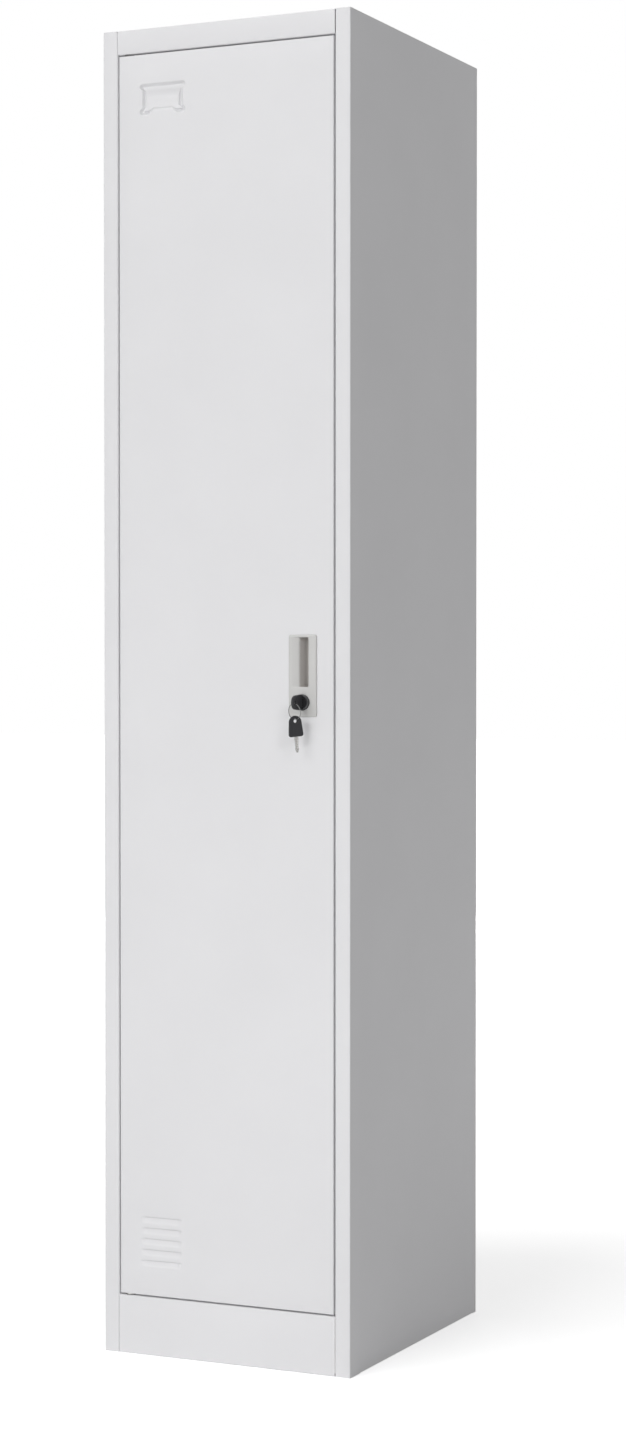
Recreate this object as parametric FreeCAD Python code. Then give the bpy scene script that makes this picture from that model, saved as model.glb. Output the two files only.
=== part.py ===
# One-door steel clothes locker folded from thin painted sheet, with a moulded pull, a cam lock and two keys.
# Millimetres, +Z up. The origin is the middle of the back's lower edge, where wall and floor meet.
# The front looks along -Y, so FRONT is the plane of the door's face and depth counts from it towards +Y.
import FreeCAD, Part
import math
import os

# Carcass
WIDTH = 380.0
DEPTH = 450.0
HEIGHT = 1850.0
SHEET = 0.8                 # thickness of every folded sheet
BEND = 0.8                  # inside radius of a fold
POST_FACE = 23.0            # width of the front post folded from a side panel
STRIKE_LIP = 8.0            # stop and strike lip behind the door, on the lock side
STRIKE_LIP_INSET = 10.0     # the lip stops this far inside the door opening, top and bottom
REAR_FLANGE = 18.0
BASE_FLANGE = 15.0          # flange turned in along the floor
BASE_FLANGE_INSET = 10.0    # from the post and from the back to the ends of the side's base flange
HEADER_FACE = 33.5
HEADER_RETURN = 28.0
HEADER_UPTURN = 10.0
PLINTH_FACE = 82.0          # the floor panel's top is this high
PAN_FLANGE = 20.0           # flanges of the top and floor pans, against the sides and the back
SEAM = 0.6                  # open seam between the posts and the pans
PAN_LAP = 6.0               # how far a pan's wings reach under its middle, where they are one sheet
WALL_HOLE = 8.0             # screw holes that tie the locker to a wall
WALL_HOLE_SPACING = 220.0
WALL_HOLE_BELOW_TOP = 150.0

# Inside fittings
SHELF_BELOW_TOP = 350.0     # top of the hat shelf below the locker's top
SHELF_SETBACK = 50.0        # shelf's front edge behind the door's face
SHELF_REAR_GAP = 3.0
SHELF_SIDE_GAP = 0.8
SHELF_EDGE = 22.0
SHELF_HEM = 10.0
RUNNER_LEG = 20.0
RUNNER_SHELF = 18.0
RUNNER_END_GAP = 4.0        # from the shelf's own folds to the runner's ends
RAIL_DIAMETER = 19.0
RAIL_WALL = 1.2
RAIL_DROP = 75.0            # rail's axis below the shelf's top
RAIL_FROM_BACK = 210.0
RAIL_END_GAP = 0.6
RAIL_SEAT_GAP = 0.2
CUP_WALL = 1.6
CUP_DEPTH = 14.0
CUP_RISE = 6.0              # how far the cup's open arms stand above the rail's axis
CUP_PLATE = 1.2
CUP_PLATE_WIDTH = 34.0
CUP_PLATE_HEIGHT = 46.0
CUP_PLATE_CORNER = 3.0
BUMPER_DIAMETER = 6.0
BUMPER_HEIGHT = 1.7
BUMPER_CROWN = 0.8          # bevel of a bumper's top
BUMPER_FROM_EDGE = 3.2      # bumper's axis from the strike lip's free edge
BUMPER_GAP = 0.3            # bumper's top from the closed door
BUMPER_LOW_Z = 330.0
BUMPER_MIDDLE_Z = 900.0
BUMPER_HIGH_Z = 1570.0

# Door
DOOR_GAP = 2.0
DOOR_DEPTH = 20.0
DOOR_LIP = 12.0
STIFFENER_CROWN = 50.0
STIFFENER_FOOT = 12.0
STIFFENER_DEPTH = 14.0
STIFFENER_END_GAP = 25.0    # from the door's ends
CARD_FROM_EDGE = 68.3       # centre of the pressed name-card frame from the door's left edge
CARD_BELOW_TOP = 61.0       # its centre below the door's top edge
CARD_HALF_WIDTH = 32.3
CARD_TOP = 20.5             # from the centre up to the straight top edge
CARD_BOTTOM = 15.5          # from the centre down to the middle of the bottom edge
CARD_EAR_OUT = 4.0          # how far the corner ears flare sideways
CARD_EAR_DOWN = 5.0         # how far the lower ears flare down
CARD_EAR_RUN = 9.0          # length of a flare along its side
CARD_EAR_TIP = 3.5          # blunt end of a lower ear
CARD_PRESS = 3.2            # depth of the groove all round it
CARD_DRAFT = 2.4            # how far the groove's walls lean over that depth
CARD_GROOVE = 4.8           # from the outline to the foot of the raised middle
CARD_MIDDLE = 1.0           # depth of the flat middle
LOUVRE_COUNT = 5
LOUVRE_PITCH = 15.2
LOUVRE_WIDTH = 62.0
LOUVRE_HEIGHT = 9.0
LOUVRE_PRESS = 3.0
LOUVRE_FROM_EDGE = 65.8     # middle of the louvres from the door's left edge
LOUVRE_ABOVE_EDGE = 40.5    # bottom of the lowest louvre above the door's lower edge

# Hinge pivots, near the door's left edge
PIVOT_FROM_EDGE = 13.0
PIVOT_FROM_FACE = 7.0
PIN_DIAMETER = 6.0
PIN_FIT = 0.05              # radial running clearance
PIN_TIP = 0.8
PIN_REACH = 9.0             # pin's end past the bush flange's seat
COLLAR_DIAMETER = 12.0
RIVET_SHANK = 7.0
RIVET_HEAD = 10.0
RIVET_HEAD_HEIGHT = 2.2
BUSH_DIAMETER = 10.0
BUSH_LENGTH = 6.0
BUSH_FLANGE = 14.0
BUSH_FLANGE_THICK = 1.0
BUSH_SEAT_FIT = 0.05
GUIDE_DROP = 25.0           # top of the guide's arm below the inside of the door's top return
GUIDE_SHEET = 2.0
GUIDE_BEND = 2.0
GUIDE_ARM = 20.0
GUIDE_FRONT_GAP = 0.4
GUIDE_WIDTH = 13.0
GUIDE_LEG_TOP_GAP = 0.4
PIN_TAIL = 7.0              # pin below the guide's arm, above its head
PIN_HEAD = 9.0
PIN_HEAD_HEIGHT = 2.0
CLIP_DIAMETER = 11.0
CLIP_THICK = 0.8
CLIP_GROOVE = 4.6
CLIP_MOUTH = 3.6

# Pull handle and lock housing
HANDLE_FROM_EDGE = 45.5     # middle of the handle from the door's right edge
HANDLE_BOTTOM = 896.0
HANDLE_WIDTH = 42.0
HANDLE_HEIGHT = 112.0
HANDLE_PROUD = 2.5
HANDLE_CORNER = 3.0
HANDLE_EDGE = 1.0           # rounding of the plate's front edge
HANDLE_BODY_INSET = 2.0     # body inside the plate's outline, all round
HANDLE_CUTOUT_GAP = 0.4
HANDLE_WALL = 1.6
HANDLE_FLOOR = 2.0          # wall behind the pocket
POCKET_LEFT = 5.6           # pocket's mouth from the plate's left edge
POCKET_MOUTH = 23.9
POCKET_TOP = 3.6            # pocket from the plate's top edge
POCKET_ABOVE_LOCK = 20.9    # pocket's lower end above the lock's axis
POCKET_DEPTH = 14.0         # floor of the pocket behind the door's face
POCKET_RAMP_RUN = 7.4       # shallow finger ramp at the left of the pocket
POCKET_RAMP_DROP = 2.7
POCKET_SLOPE_RUN = 8.3      # steeper slope from the ramp's foot down to the floor
POCKET_UNDERCUT = 6.0       # finger room behind the right rim
POCKET_RIM = 3.0            # thickness of the right rim's nose
POCKET_ROUND = 3.0
LOCK_BAY_FACE = 1.5         # wall behind the door's face where the lock is held
BARB_HEIGHT = 14.0
BARB_REACH = 1.2
BARB_DEPTH = 5.0
BARB_GAP = 0.3

# Cam lock
LOCK_FROM_BOTTOM = 20.0     # lock axis above the handle plate's lower edge
BEZEL_DIAMETER = 22.0
BEZEL_PROUD = 3.5
BEZEL_EDGE = 1.2
SHANK_DIAMETER = 18.0
SHANK_FLATS = 16.0
SHANK_FIT = 0.1
SHANK_END_GAP = 2.1         # end of the barrel in front of the cam
PLUG_DIAMETER = 12.0
PLUG_FIT = 0.05
TANG = 7.0                  # square end that drives the cam
TANG_FIT = 0.1
NUT_FLATS = 22.0
NUT_THICK = 4.0
CAM_BEHIND_LIP = 0.8
CAM_THICK = 2.0
CAM_WIDTH = 15.0
CAM_TIP_GAP = 3.0           # cam's tip from the post's return when locked
SCREW_HEAD = 9.0
SCREW_HEAD_HEIGHT = 2.6
SCREW_SHANK = 4.0
SCREW_LENGTH = 7.0
SCREW_SLOT = 1.0
SCREW_EDGE = 0.5

# Keys and their ring
KEYWAY_GAP = 0.2
BLADE_THICK = 2.0
BLADE_WIDTH = 7.0
BLADE_LENGTH = 21.5
BLADE_POINT = 6.0
BLADE_TIP_WIDTH = 2.4
BLADE_SEAT = 0.5            # full width of the blade sunk into the bow
BLADE_ROOT = 9.0            # tongue of the blade moulded into the bow
BLADE_ROOT_WIDTH = 4.0
BLADE_BITS = 5
BIT_DEEP = 1.1
BIT_SHALLOW = 0.6
BIT_WIDTH = 2.2
BOW_GAP = 0.4               # bow's shoulder from the lock's face
BOW_LENGTH = 28.5
BOW_WIDTH = 22.0
BOW_TOP_WIDTH = 19.0
BOW_THICK = 3.2
BOW_CORNER = 3.0
BOW_EDGE = 0.5
BOW_HOLE = 5.5
BOW_HOLE_INSET = 7.0        # hole's axis from the bow's outer end
RING_DIAMETER = 22.0        # to the middle of the wire
RING_WIRE = 1.2
RING_SLACK = 0.7            # clearance of the wire in a bow's hole
RING_TURN = -18.0           # ring's plane from the door's plane, about Z
RING_LEAN = 6.0             # ring's lower side towards the door, about the key's hole
SPARE_TURN = -35.0          # hole axis of the spare key from +X, about Z
SPARE_LEAN = 5.0            # spare key's tip towards the door, about its hole

# Places that follow from the sizes above
FRONT = -DEPTH
SIDE = WIDTH / 2
SIDE_INNER = SIDE - SHEET
OPENING_X = SIDE - POST_FACE
DOOR_X = OPENING_X - DOOR_GAP
POST_RETURN = DOOR_DEPTH + BUMPER_GAP + BUMPER_HEIGHT
HEADER_Z = HEIGHT - HEADER_FACE
DOOR_BOTTOM = PLINTH_FACE + DOOR_GAP
DOOR_TOP = HEADER_Z - DOOR_GAP
CARD_X = -DOOR_X + CARD_FROM_EDGE
LOUVRE_X = -DOOR_X + LOUVRE_FROM_EDGE
HANDLE_X = DOOR_X - HANDLE_FROM_EDGE
PIVOT_X = -DOOR_X + PIVOT_FROM_EDGE
PIVOT_Y = FRONT + PIVOT_FROM_FACE
WELD_Y = -2 * SHEET         # inside of the sides' rear flanges, which the pans' rear flanges meet
WALL_HOLE_Z = HEIGHT - WALL_HOLE_BELOW_TOP
SHELF_HEIGHT = HEIGHT - SHELF_BELOW_TOP
LOCK_Z = HANDLE_BOTTOM + LOCK_FROM_BOTTOM
BEZEL_Y = FRONT - HANDLE_PROUD - BEZEL_PROUD
CAM_Y = FRONT + POST_RETURN + SHEET + CAM_BEHIND_LIP
CAM_REACH = OPENING_X - CAM_TIP_GAP - HANDLE_X
POCKET_X = HANDLE_X - HANDLE_WIDTH / 2 + POCKET_LEFT
POCKET_Z = LOCK_Z + POCKET_ABOVE_LOCK
POCKET_HEIGHT = HANDLE_BOTTOM + HANDLE_HEIGHT - POCKET_TOP - POCKET_Z
RAIL_Z = SHELF_HEIGHT - RAIL_DROP
HOLE_SLACK = BOW_HOLE / 2 - RING_WIRE / 2 - RING_SLACK
SHOULDER_Y = BEZEL_Y - BOW_GAP
KEY_HOLE_Y = SHOULDER_Y - BOW_LENGTH + BOW_HOLE_INSET
RING_TOP_Z = LOCK_Z - HOLE_SLACK
RING_DROP = RING_DIAMETER + 2 * HOLE_SLACK    # from the key's hole to the spare key's
SPARE_HOLE_Y = KEY_HOLE_Y + RING_DROP * math.sin(math.radians(RING_LEAN))
SPARE_HOLE_Z = LOCK_Z - RING_DROP * math.cos(math.radians(RING_LEAN))
SPARE_AXIS = FreeCAD.Vector(math.cos(math.radians(SPARE_TURN)), math.sin(math.radians(SPARE_TURN)), 0)

X_AXIS = FreeCAD.Vector(1, 0, 0)
Y_AXIS = FreeCAD.Vector(0, 1, 0)
Z_AXIS = FreeCAD.Vector(0, 0, 1)
PLANES = {
    "xy": lambda u, v, w: FreeCAD.Vector(u, v, w),
    "yz": lambda u, v, w: FreeCAD.Vector(w, u, v),
    "xz": lambda u, v, w: FreeCAD.Vector(u, w, v),
}


# Shared ways of making things

def block(x0, x1, y0, y1, z0, z1):
    """A box between two corners."""
    return Part.makeBox(x1 - x0, y1 - y0, z1 - z0, FreeCAD.Vector(x0, y0, z0))


def rod(diameter, length, base, axis):
    """A round bar from base along axis."""
    return Part.makeCylinder(diameter / 2, length, base, axis)


def turned(profile, base, axis):
    """A turned piece: profile is (radius, height) points, closed along the axis, and axis is +Y or +Z."""
    place = PLANES["xy"] if axis == Y_AXIS else PLANES["xz"]
    points = [place(r, h, 0) for r, h in profile]
    face = Part.Face(Part.makePolygon(points + points[:1]))
    solid = face.revolve(FreeCAD.Vector(0, 0, 0), axis, 360)
    solid.translate(base)
    return solid


def prism(points, plane, start, end):
    """A straight-sided outline in a plane, carried from start to end across it."""
    place = PLANES[plane]
    corners = [place(u, v, start) for u, v in points]
    face = Part.Face(Part.makePolygon(corners + corners[:1]))
    return face.extrude(place(0, 0, end) - place(0, 0, start))


def folded(points, side, plane, start, end, thick=SHEET, inner=BEND):
    """A folded sheet: points run along one face of the sheet, the metal lies to the left of the run for
    side 1 and to the right for side -1, and every corner becomes a bend. The section then runs from start
    to end across its plane."""
    place = PLANES[plane]
    run = [FreeCAD.Vector(u, v, 0) for u, v in points]
    ways = [(b - a).normalize() for a, b in zip(run, run[1:])]

    def across(way):
        return FreeCAD.Vector(-way.y, way.x, 0) * (side * thick)

    near = [("line", run[0])]
    far = [("line", run[0] + across(ways[0]))]
    for corner, a, b in zip(run[1:-1], ways, ways[1:]):
        turn = math.atan2(a.x * b.y - a.y * b.x, a.dot(b))
        hand = math.copysign(1.0, turn)
        radius = inner + thick if side * turn > 0 else inner
        step = radius * math.tan(abs(turn) / 2)
        enter, leave = corner - a * step, corner + b * step
        centre = enter + FreeCAD.Vector(-a.y, a.x, 0) * (hand * radius)
        middle = (corner - centre).normalize()
        far_radius = 2 * inner + thick - radius
        near += [("line", enter), ("arc", centre + middle * radius, leave)]
        far += [("line", enter + across(a)), ("arc", centre + middle * far_radius, leave + across(b))]
    near.append(("line", run[-1]))
    far.append(("line", run[-1] + across(ways[-1])))

    def edges(steps):
        made = []
        for before, step in zip(steps, steps[1:]):
            spots = [place(p.x, p.y, start) for p in (before[-1], *step[1:])]
            curve = Part.LineSegment(*spots) if step[0] == "line" else Part.Arc(*spots)
            made.append(curve.toShape())
        return made

    caps = [("line", run[-1]), ("line", far[-1][-1])], [("line", far[0][-1]), ("line", run[0])]
    loop = edges(near) + edges(caps[0]) + edges(far) + edges(caps[1])
    face = Part.Face(Part.Wire(Part.__sortEdges__(loop)))
    return face.extrude(place(0, 0, end) - place(0, 0, start))


def rounded(shape, radius, chosen):
    """The shape with the edges that chosen(edge) picks rounded."""
    return shape.makeFillet(radius, [edge for edge in shape.Edges if chosen(edge)])


def runs_along(edge, axis):
    """True for a straight edge that runs along axis."""
    if not isinstance(edge.Curve, Part.Line):
        return False
    return abs(abs(edge.Curve.Direction.dot(axis)) - 1) < 1e-6


def joined(first, *others):
    """Pieces of one sheet or moulding made one solid."""
    return first.fuse(list(others)).removeSplitter()


# Carcass

def side_panel(hand, lip):
    """Side wall, front post and flanges from one sheet; hand is 1 on the right and -1 on the left."""
    run = [
        (hand * (SIDE - REAR_FLANGE), -SHEET),
        (hand * SIDE, -SHEET),
        (hand * SIDE, FRONT),
        (hand * OPENING_X, FRONT),
        (hand * OPENING_X, FRONT + POST_RETURN),
    ]
    if lip:
        run.append((hand * (OPENING_X - STRIKE_LIP), FRONT + POST_RETURN))
    panel = folded(run, -hand, "xy", 0, HEIGHT)

    # The top pan's ears pass over the post's return, which is therefore cut lower.
    low, high = sorted((hand * (OPENING_X - STRIKE_LIP - SEAM), hand * (SIDE - SHEET - SEAM)))
    panel = panel.cut(block(low, high, FRONT + SHEET + SEAM, FRONT + POST_RETURN + 2 * SHEET,
                            HEIGHT - SHEET - SEAM, HEIGHT + SEAM))
    if lip:
        low, high = sorted((hand * (OPENING_X - STRIKE_LIP - SEAM), hand * OPENING_X))
        for bottom, top in ((0, PLINTH_FACE + STRIKE_LIP_INSET), (HEADER_Z - STRIKE_LIP_INSET, HEIGHT)):
            panel = panel.cut(block(low, high, FRONT + POST_RETURN - BEND, FRONT + POST_RETURN + 2 * SHEET,
                                    bottom, top))

    # The lower edge is turned in as a foot, between the post and the back.
    front = FRONT + POST_RETURN + BASE_FLANGE_INSET
    back = WELD_Y - BASE_FLANGE_INSET
    low, high = sorted((hand * SIDE_INNER, hand * SIDE))
    panel = panel.cut(block(low, high, front, back, 0, BASE_FLANGE))
    foot_run = [(hand * SIDE, BASE_FLANGE), (hand * SIDE, 0), (hand * (SIDE - BASE_FLANGE), 0)]
    return joined(panel, folded(foot_run, -hand, "xz", front, back))


def back_panel():
    """Flat back sheet over the sides' rear flanges, with two wall-tie holes."""
    sheet = block(-SIDE, SIDE, -SHEET, 0, 0, HEIGHT)
    for x in (-WALL_HOLE_SPACING / 2, WALL_HOLE_SPACING / 2):
        sheet = sheet.cut(rod(WALL_HOLE, 3 * SHEET, FreeCAD.Vector(x, -2 * SHEET, WALL_HOLE_Z), Y_AXIS))
    return sheet


def pan_wing(hand, level, front):
    """Side strip of a pan with its flange turned down against the side panel."""
    run = [
        (hand * (OPENING_X - PAN_LAP), level),
        (hand * SIDE_INNER, level),
        (hand * SIDE_INNER, level - PAN_FLANGE),
    ]
    return folded(run, -hand, "xz", front, WELD_Y - SHEET - BEND)


def bush_hole(z):
    """Cutter for a hinge bush's seat in a pan."""
    base = FreeCAD.Vector(PIVOT_X, PIVOT_Y, z - 2 * SHEET)
    return rod(BUSH_DIAMETER + 2 * BUSH_SEAT_FIT, 4 * SHEET, base, Z_AXIS)


def top_panel():
    """Top pan: roof, header folded down between the posts, and flanges."""
    run = [
        (WELD_Y, HEIGHT - PAN_FLANGE),
        (WELD_Y, HEIGHT),
        (FRONT, HEIGHT),
        (FRONT, HEADER_Z),
        (FRONT + HEADER_RETURN, HEADER_Z),
        (FRONT + HEADER_RETURN, HEADER_Z + HEADER_UPTURN),
    ]
    half = OPENING_X - SEAM
    pan = folded(run, 1, "yz", -half, half)
    wings = [pan_wing(hand, HEIGHT, FRONT + SHEET + BEND + SEAM) for hand in (-1, 1)]
    return joined(pan, *wings).cut(bush_hole(HEADER_Z))


def floor_panel():
    """Floor pan: floor, plinth folded down between the posts, and flanges."""
    run = [
        (WELD_Y, PLINTH_FACE - PAN_FLANGE),
        (WELD_Y, PLINTH_FACE),
        (FRONT, PLINTH_FACE),
        (FRONT, 0),
        (FRONT + BASE_FLANGE, 0),
    ]
    half = OPENING_X - SEAM
    pan = folded(run, 1, "yz", -half, half)
    wing_front = FRONT + POST_RETURN + SHEET + SEAM
    wings = [pan_wing(hand, PLINTH_FACE, wing_front) for hand in (-1, 1)]

    # A flat tongue on each wing closes the hollow post at floor level.
    for hand in (-1, 1):
        low, high = sorted((hand * (OPENING_X + SHEET + SEAM), hand * (SIDE_INNER - SHEET - BEND)))
        wings.append(block(low, high, FRONT + SHEET + BEND + SEAM, wing_front + PAN_LAP,
                           PLINTH_FACE - SHEET, PLINTH_FACE))
    return joined(pan, *wings).cut(bush_hole(PLINTH_FACE))


# Inside fittings

SHELF_FRONT = FRONT + SHELF_SETBACK
SHELF_REAR = -SHELF_REAR_GAP


def hat_shelf():
    """Shelf with its front and rear edges folded down and the front one hemmed."""
    run = [
        (SHELF_REAR, SHELF_HEIGHT - SHELF_EDGE),
        (SHELF_REAR, SHELF_HEIGHT),
        (SHELF_FRONT, SHELF_HEIGHT),
        (SHELF_FRONT, SHELF_HEIGHT - SHELF_EDGE),
        (SHELF_FRONT + SHELF_HEM, SHELF_HEIGHT - SHELF_EDGE),
    ]
    half = SIDE_INNER - SHELF_SIDE_GAP
    return folded(run, 1, "yz", -half, half)


def shelf_runner(hand):
    """Angle welded to a side panel, which the shelf lies on."""
    level = SHELF_HEIGHT - SHEET
    run = [
        (hand * SIDE_INNER, level - RUNNER_LEG),
        (hand * SIDE_INNER, level),
        (hand * (SIDE_INNER - RUNNER_SHELF), level),
    ]
    return folded(run, hand, "xz", SHELF_FRONT + SHELF_HEM + RUNNER_END_GAP, SHELF_REAR - RUNNER_END_GAP)


def coat_rail():
    """Tube across the locker, for hangers."""
    half = SIDE_INNER - CUP_PLATE - RAIL_END_GAP
    base = FreeCAD.Vector(-half, -RAIL_FROM_BACK, RAIL_Z)
    outer = rod(RAIL_DIAMETER, 2 * half, base, X_AXIS)
    return outer.cut(rod(RAIL_DIAMETER - 2 * RAIL_WALL, 2 * half, base, X_AXIS))


def rail_bracket(hand):
    """Plate with an open cup that the rail's end drops into from above."""
    def cup(radius, depth):
        base = FreeCAD.Vector(SIDE_INNER - depth, -RAIL_FROM_BACK, RAIL_Z)
        arms = block(SIDE_INNER - depth, SIDE_INNER, -RAIL_FROM_BACK - radius, -RAIL_FROM_BACK + radius,
                     RAIL_Z, RAIL_Z + CUP_RISE)
        return rod(2 * radius, depth, base, X_AXIS).fuse(arms)

    seat = RAIL_DIAMETER / 2 + RAIL_SEAT_GAP
    plate = block(SIDE_INNER - CUP_PLATE, SIDE_INNER,
                  -RAIL_FROM_BACK - CUP_PLATE_WIDTH / 2, -RAIL_FROM_BACK + CUP_PLATE_WIDTH / 2,
                  RAIL_Z - CUP_PLATE_HEIGHT / 2, RAIL_Z + CUP_PLATE_HEIGHT / 2)
    plate = rounded(plate, CUP_PLATE_CORNER, lambda edge: runs_along(edge, X_AXIS))
    hollow = cup(seat, CUP_DEPTH).cut(plate)
    headroom = block(SIDE_INNER - CUP_DEPTH, SIDE_INNER - CUP_PLATE, -RAIL_FROM_BACK - seat,
                     -RAIL_FROM_BACK + seat, RAIL_Z, RAIL_Z + seat + CUP_RISE)
    bracket = joined(plate, cup(seat + CUP_WALL, CUP_DEPTH)).cut(hollow.fuse(headroom))
    return bracket if hand > 0 else bracket.mirror(FreeCAD.Vector(0, 0, 0), X_AXIS)


def hinge_bush(seat, way):
    """Flanged nylon bush; its flange lies on the pan at seat, and way, 1 or -1, points up or down off it."""
    bore = PIN_DIAMETER / 2 + PIN_FIT
    profile = [
        (bore, -BUSH_FLANGE_THICK),
        (BUSH_FLANGE / 2, -BUSH_FLANGE_THICK),
        (BUSH_FLANGE / 2, 0),
        (BUSH_DIAMETER / 2, 0),
        (BUSH_DIAMETER / 2, BUSH_LENGTH),
        (bore, BUSH_LENGTH),
    ]
    profile = [(r, way * h) for r, h in profile]
    return turned(profile, FreeCAD.Vector(PIVOT_X, PIVOT_Y, seat), Z_AXIS)


def door_bumpers():
    """Rubber stops on the strike lip, just clear of the closed door."""
    radius = BUMPER_DIAMETER / 2
    profile = [
        (0, 0),
        (radius, 0),
        (radius, BUMPER_CROWN - BUMPER_HEIGHT),
        (radius - BUMPER_CROWN, -BUMPER_HEIGHT),
        (0, -BUMPER_HEIGHT),
    ]
    x = OPENING_X - STRIKE_LIP + BUMPER_FROM_EDGE
    levels = (BUMPER_LOW_Z, BUMPER_MIDDLE_Z, BUMPER_HIGH_Z)
    pads = [turned(profile, FreeCAD.Vector(x, FRONT + POST_RETURN, z), Y_AXIS) for z in levels]
    return Part.makeCompound(pads)


# Door

CARD_Z = DOOR_TOP - CARD_BELOW_TOP
CARD_LEAN = CARD_DRAFT / CARD_PRESS
CARD_WALL = SHEET * math.hypot(1, CARD_LEAN)


def card_outline(grow, y):
    """Outline of the name-card frame at a depth: straight on top, with ears that flare at its corners."""
    half, top, low = CARD_HALF_WIDTH + grow, CARD_TOP + grow, -CARD_BOTTOM - grow
    ear = half + CARD_EAR_OUT

    def spot(u, v):
        return FreeCAD.Vector(CARD_X + u, y, CARD_Z + v)

    def flare(start, along, across, end):
        """Arc that leaves a side at start, along it, and has moved across by the time it reaches its end."""
        run, rise = (end - start).dot(along), (end - start).dot(across)
        radius = (run * run + rise * rise) / (2 * rise)
        angle = math.atan2(run, radius - rise) / 2
        middle = start + along * (radius * math.sin(angle)) + across * (radius * (1 - math.cos(angle)))
        return Part.Arc(start, middle, end)

    edges = [Part.LineSegment(spot(-ear, top), spot(ear, top))]
    for hand in (1, -1):
        out = X_AXIS * hand
        side_top = spot(hand * half, top - CARD_EAR_RUN)
        tip_side = spot(hand * ear, low - CARD_EAR_DOWN + CARD_EAR_TIP)
        side_low = spot(hand * half, low - CARD_EAR_DOWN + CARD_EAR_TIP + CARD_EAR_RUN)
        tip_foot = spot(hand * (ear - CARD_EAR_TIP), low - CARD_EAR_DOWN)
        foot = spot(hand * (ear - CARD_EAR_TIP - CARD_EAR_RUN), low)
        edges += [
            flare(side_top, Z_AXIS, out, spot(hand * ear, top)),
            Part.LineSegment(side_top, side_low),
            flare(side_low, -Z_AXIS, out, tip_side),
            Part.LineSegment(tip_side, tip_foot),
            flare(foot, out, -Z_AXIS, tip_foot),
        ]
    edges.append(Part.LineSegment(edges[-1].StartPoint, edges[5].StartPoint))
    return Part.Wire(Part.__sortEdges__([edge.toShape() for edge in edges]))


def card_recess(grow, start, end):
    """Block of the frame between two depths, grown all round, with walls that lean in as they go deeper."""
    wires = [card_outline(grow - CARD_LEAN * (y - FRONT), y) for y in (start, end)]
    return Part.makeLoft(wires, True, True)


def card_middle(inset, start, end):
    """Block of the frame's middle between two depths, whose sides lean out to the groove's floor."""
    def wire(y):
        edge = inset + CARD_GROOVE + CARD_LEAN * (FRONT + CARD_PRESS - y)
        half, top, low = CARD_HALF_WIDTH - edge, CARD_TOP - edge, -CARD_BOTTOM + edge
        corners = [(-half, low), (half, low), (half, top), (-half, top), (-half, low)]
        return Part.makePolygon([FreeCAD.Vector(CARD_X + u, y, CARD_Z + v) for u, v in corners])

    return Part.makeLoft([wire(start), wire(end)], True, True)


def louvre(low):
    """Cutter and scoop of one louvre: a strip pressed inwards from its lower edge, open along its top."""
    x0, x1 = LOUVRE_X - LOUVRE_WIDTH / 2, LOUVRE_X + LOUVRE_WIDTH / 2
    top = low + LOUVRE_HEIGHT
    lean = math.atan2(LOUVRE_PRESS, LOUVRE_HEIGHT)
    bend_start = low - (BEND + SHEET) * math.tan(lean / 2)
    slot = block(x0, x1, FRONT - SHEET, FRONT + 2 * SHEET, bend_start, top)
    run = [(FRONT, bend_start - SHEET), (FRONT, low), (FRONT + LOUVRE_PRESS, top)]
    strip = folded(run, -1, "yz", x0, x1)
    gusset = [(FRONT, low - SHEET), (FRONT, top), (FRONT + LOUVRE_PRESS + SHEET, top)]
    ends = [prism(gusset, "yz", x, x + SHEET) for x in (x0 - SHEET, x1)]
    return slot, [strip, *ends]


def door_panel():
    """Door skin: a pan with turned edges, pressed card frame and louvres, cut for the handle and pins."""
    def pan(inset, radius):
        body = block(-DOOR_X + inset, DOOR_X - inset, FRONT + inset, FRONT + DOOR_DEPTH - inset,
                     DOOR_BOTTOM + inset, DOOR_TOP - inset)
        return rounded(body, radius, lambda edge: not runs_along(edge, Y_AXIS))

    skin = pan(0, BEND + SHEET).cut(pan(SHEET, BEND))
    skin = skin.cut(block(-DOOR_X + DOOR_LIP, DOOR_X - DOOR_LIP, FRONT + DOOR_DEPTH - 2 * SHEET,
                          FRONT + DOOR_DEPTH + SHEET, DOOR_BOTTOM + DOOR_LIP, DOOR_TOP - DOOR_LIP))

    floor = FRONT + CARD_PRESS
    middle = FRONT + CARD_MIDDLE
    skin = skin.fuse(card_recess(CARD_WALL, FRONT + SHEET / 2, floor + SHEET))
    skin = skin.cut(card_recess(0, FRONT, floor))
    skin = skin.fuse(card_middle(0, middle, floor + SHEET / 2))
    skin = skin.cut(card_middle(CARD_WALL, middle + SHEET, floor + 2 * SHEET))

    for index in range(LOUVRE_COUNT):
        slot, scoop = louvre(DOOR_BOTTOM + LOUVRE_ABOVE_EDGE + index * LOUVRE_PITCH)
        skin = skin.cut(slot).fuse(scoop)

    skin = skin.cut(handle_block(-HANDLE_CUTOUT_GAP, FRONT - SHEET, FRONT + 2 * SHEET))
    top_hole = FreeCAD.Vector(PIVOT_X, PIVOT_Y, DOOR_TOP - 2 * SHEET)
    skin = skin.cut(rod(PIN_DIAMETER + 2 * PIN_FIT, 4 * SHEET, top_hole, Z_AXIS))
    low_hole = FreeCAD.Vector(PIVOT_X, PIVOT_Y, DOOR_BOTTOM - SHEET)
    skin = skin.cut(rod(RIVET_SHANK, 3 * SHEET, low_hole, Z_AXIS))
    return skin.removeSplitter()


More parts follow.
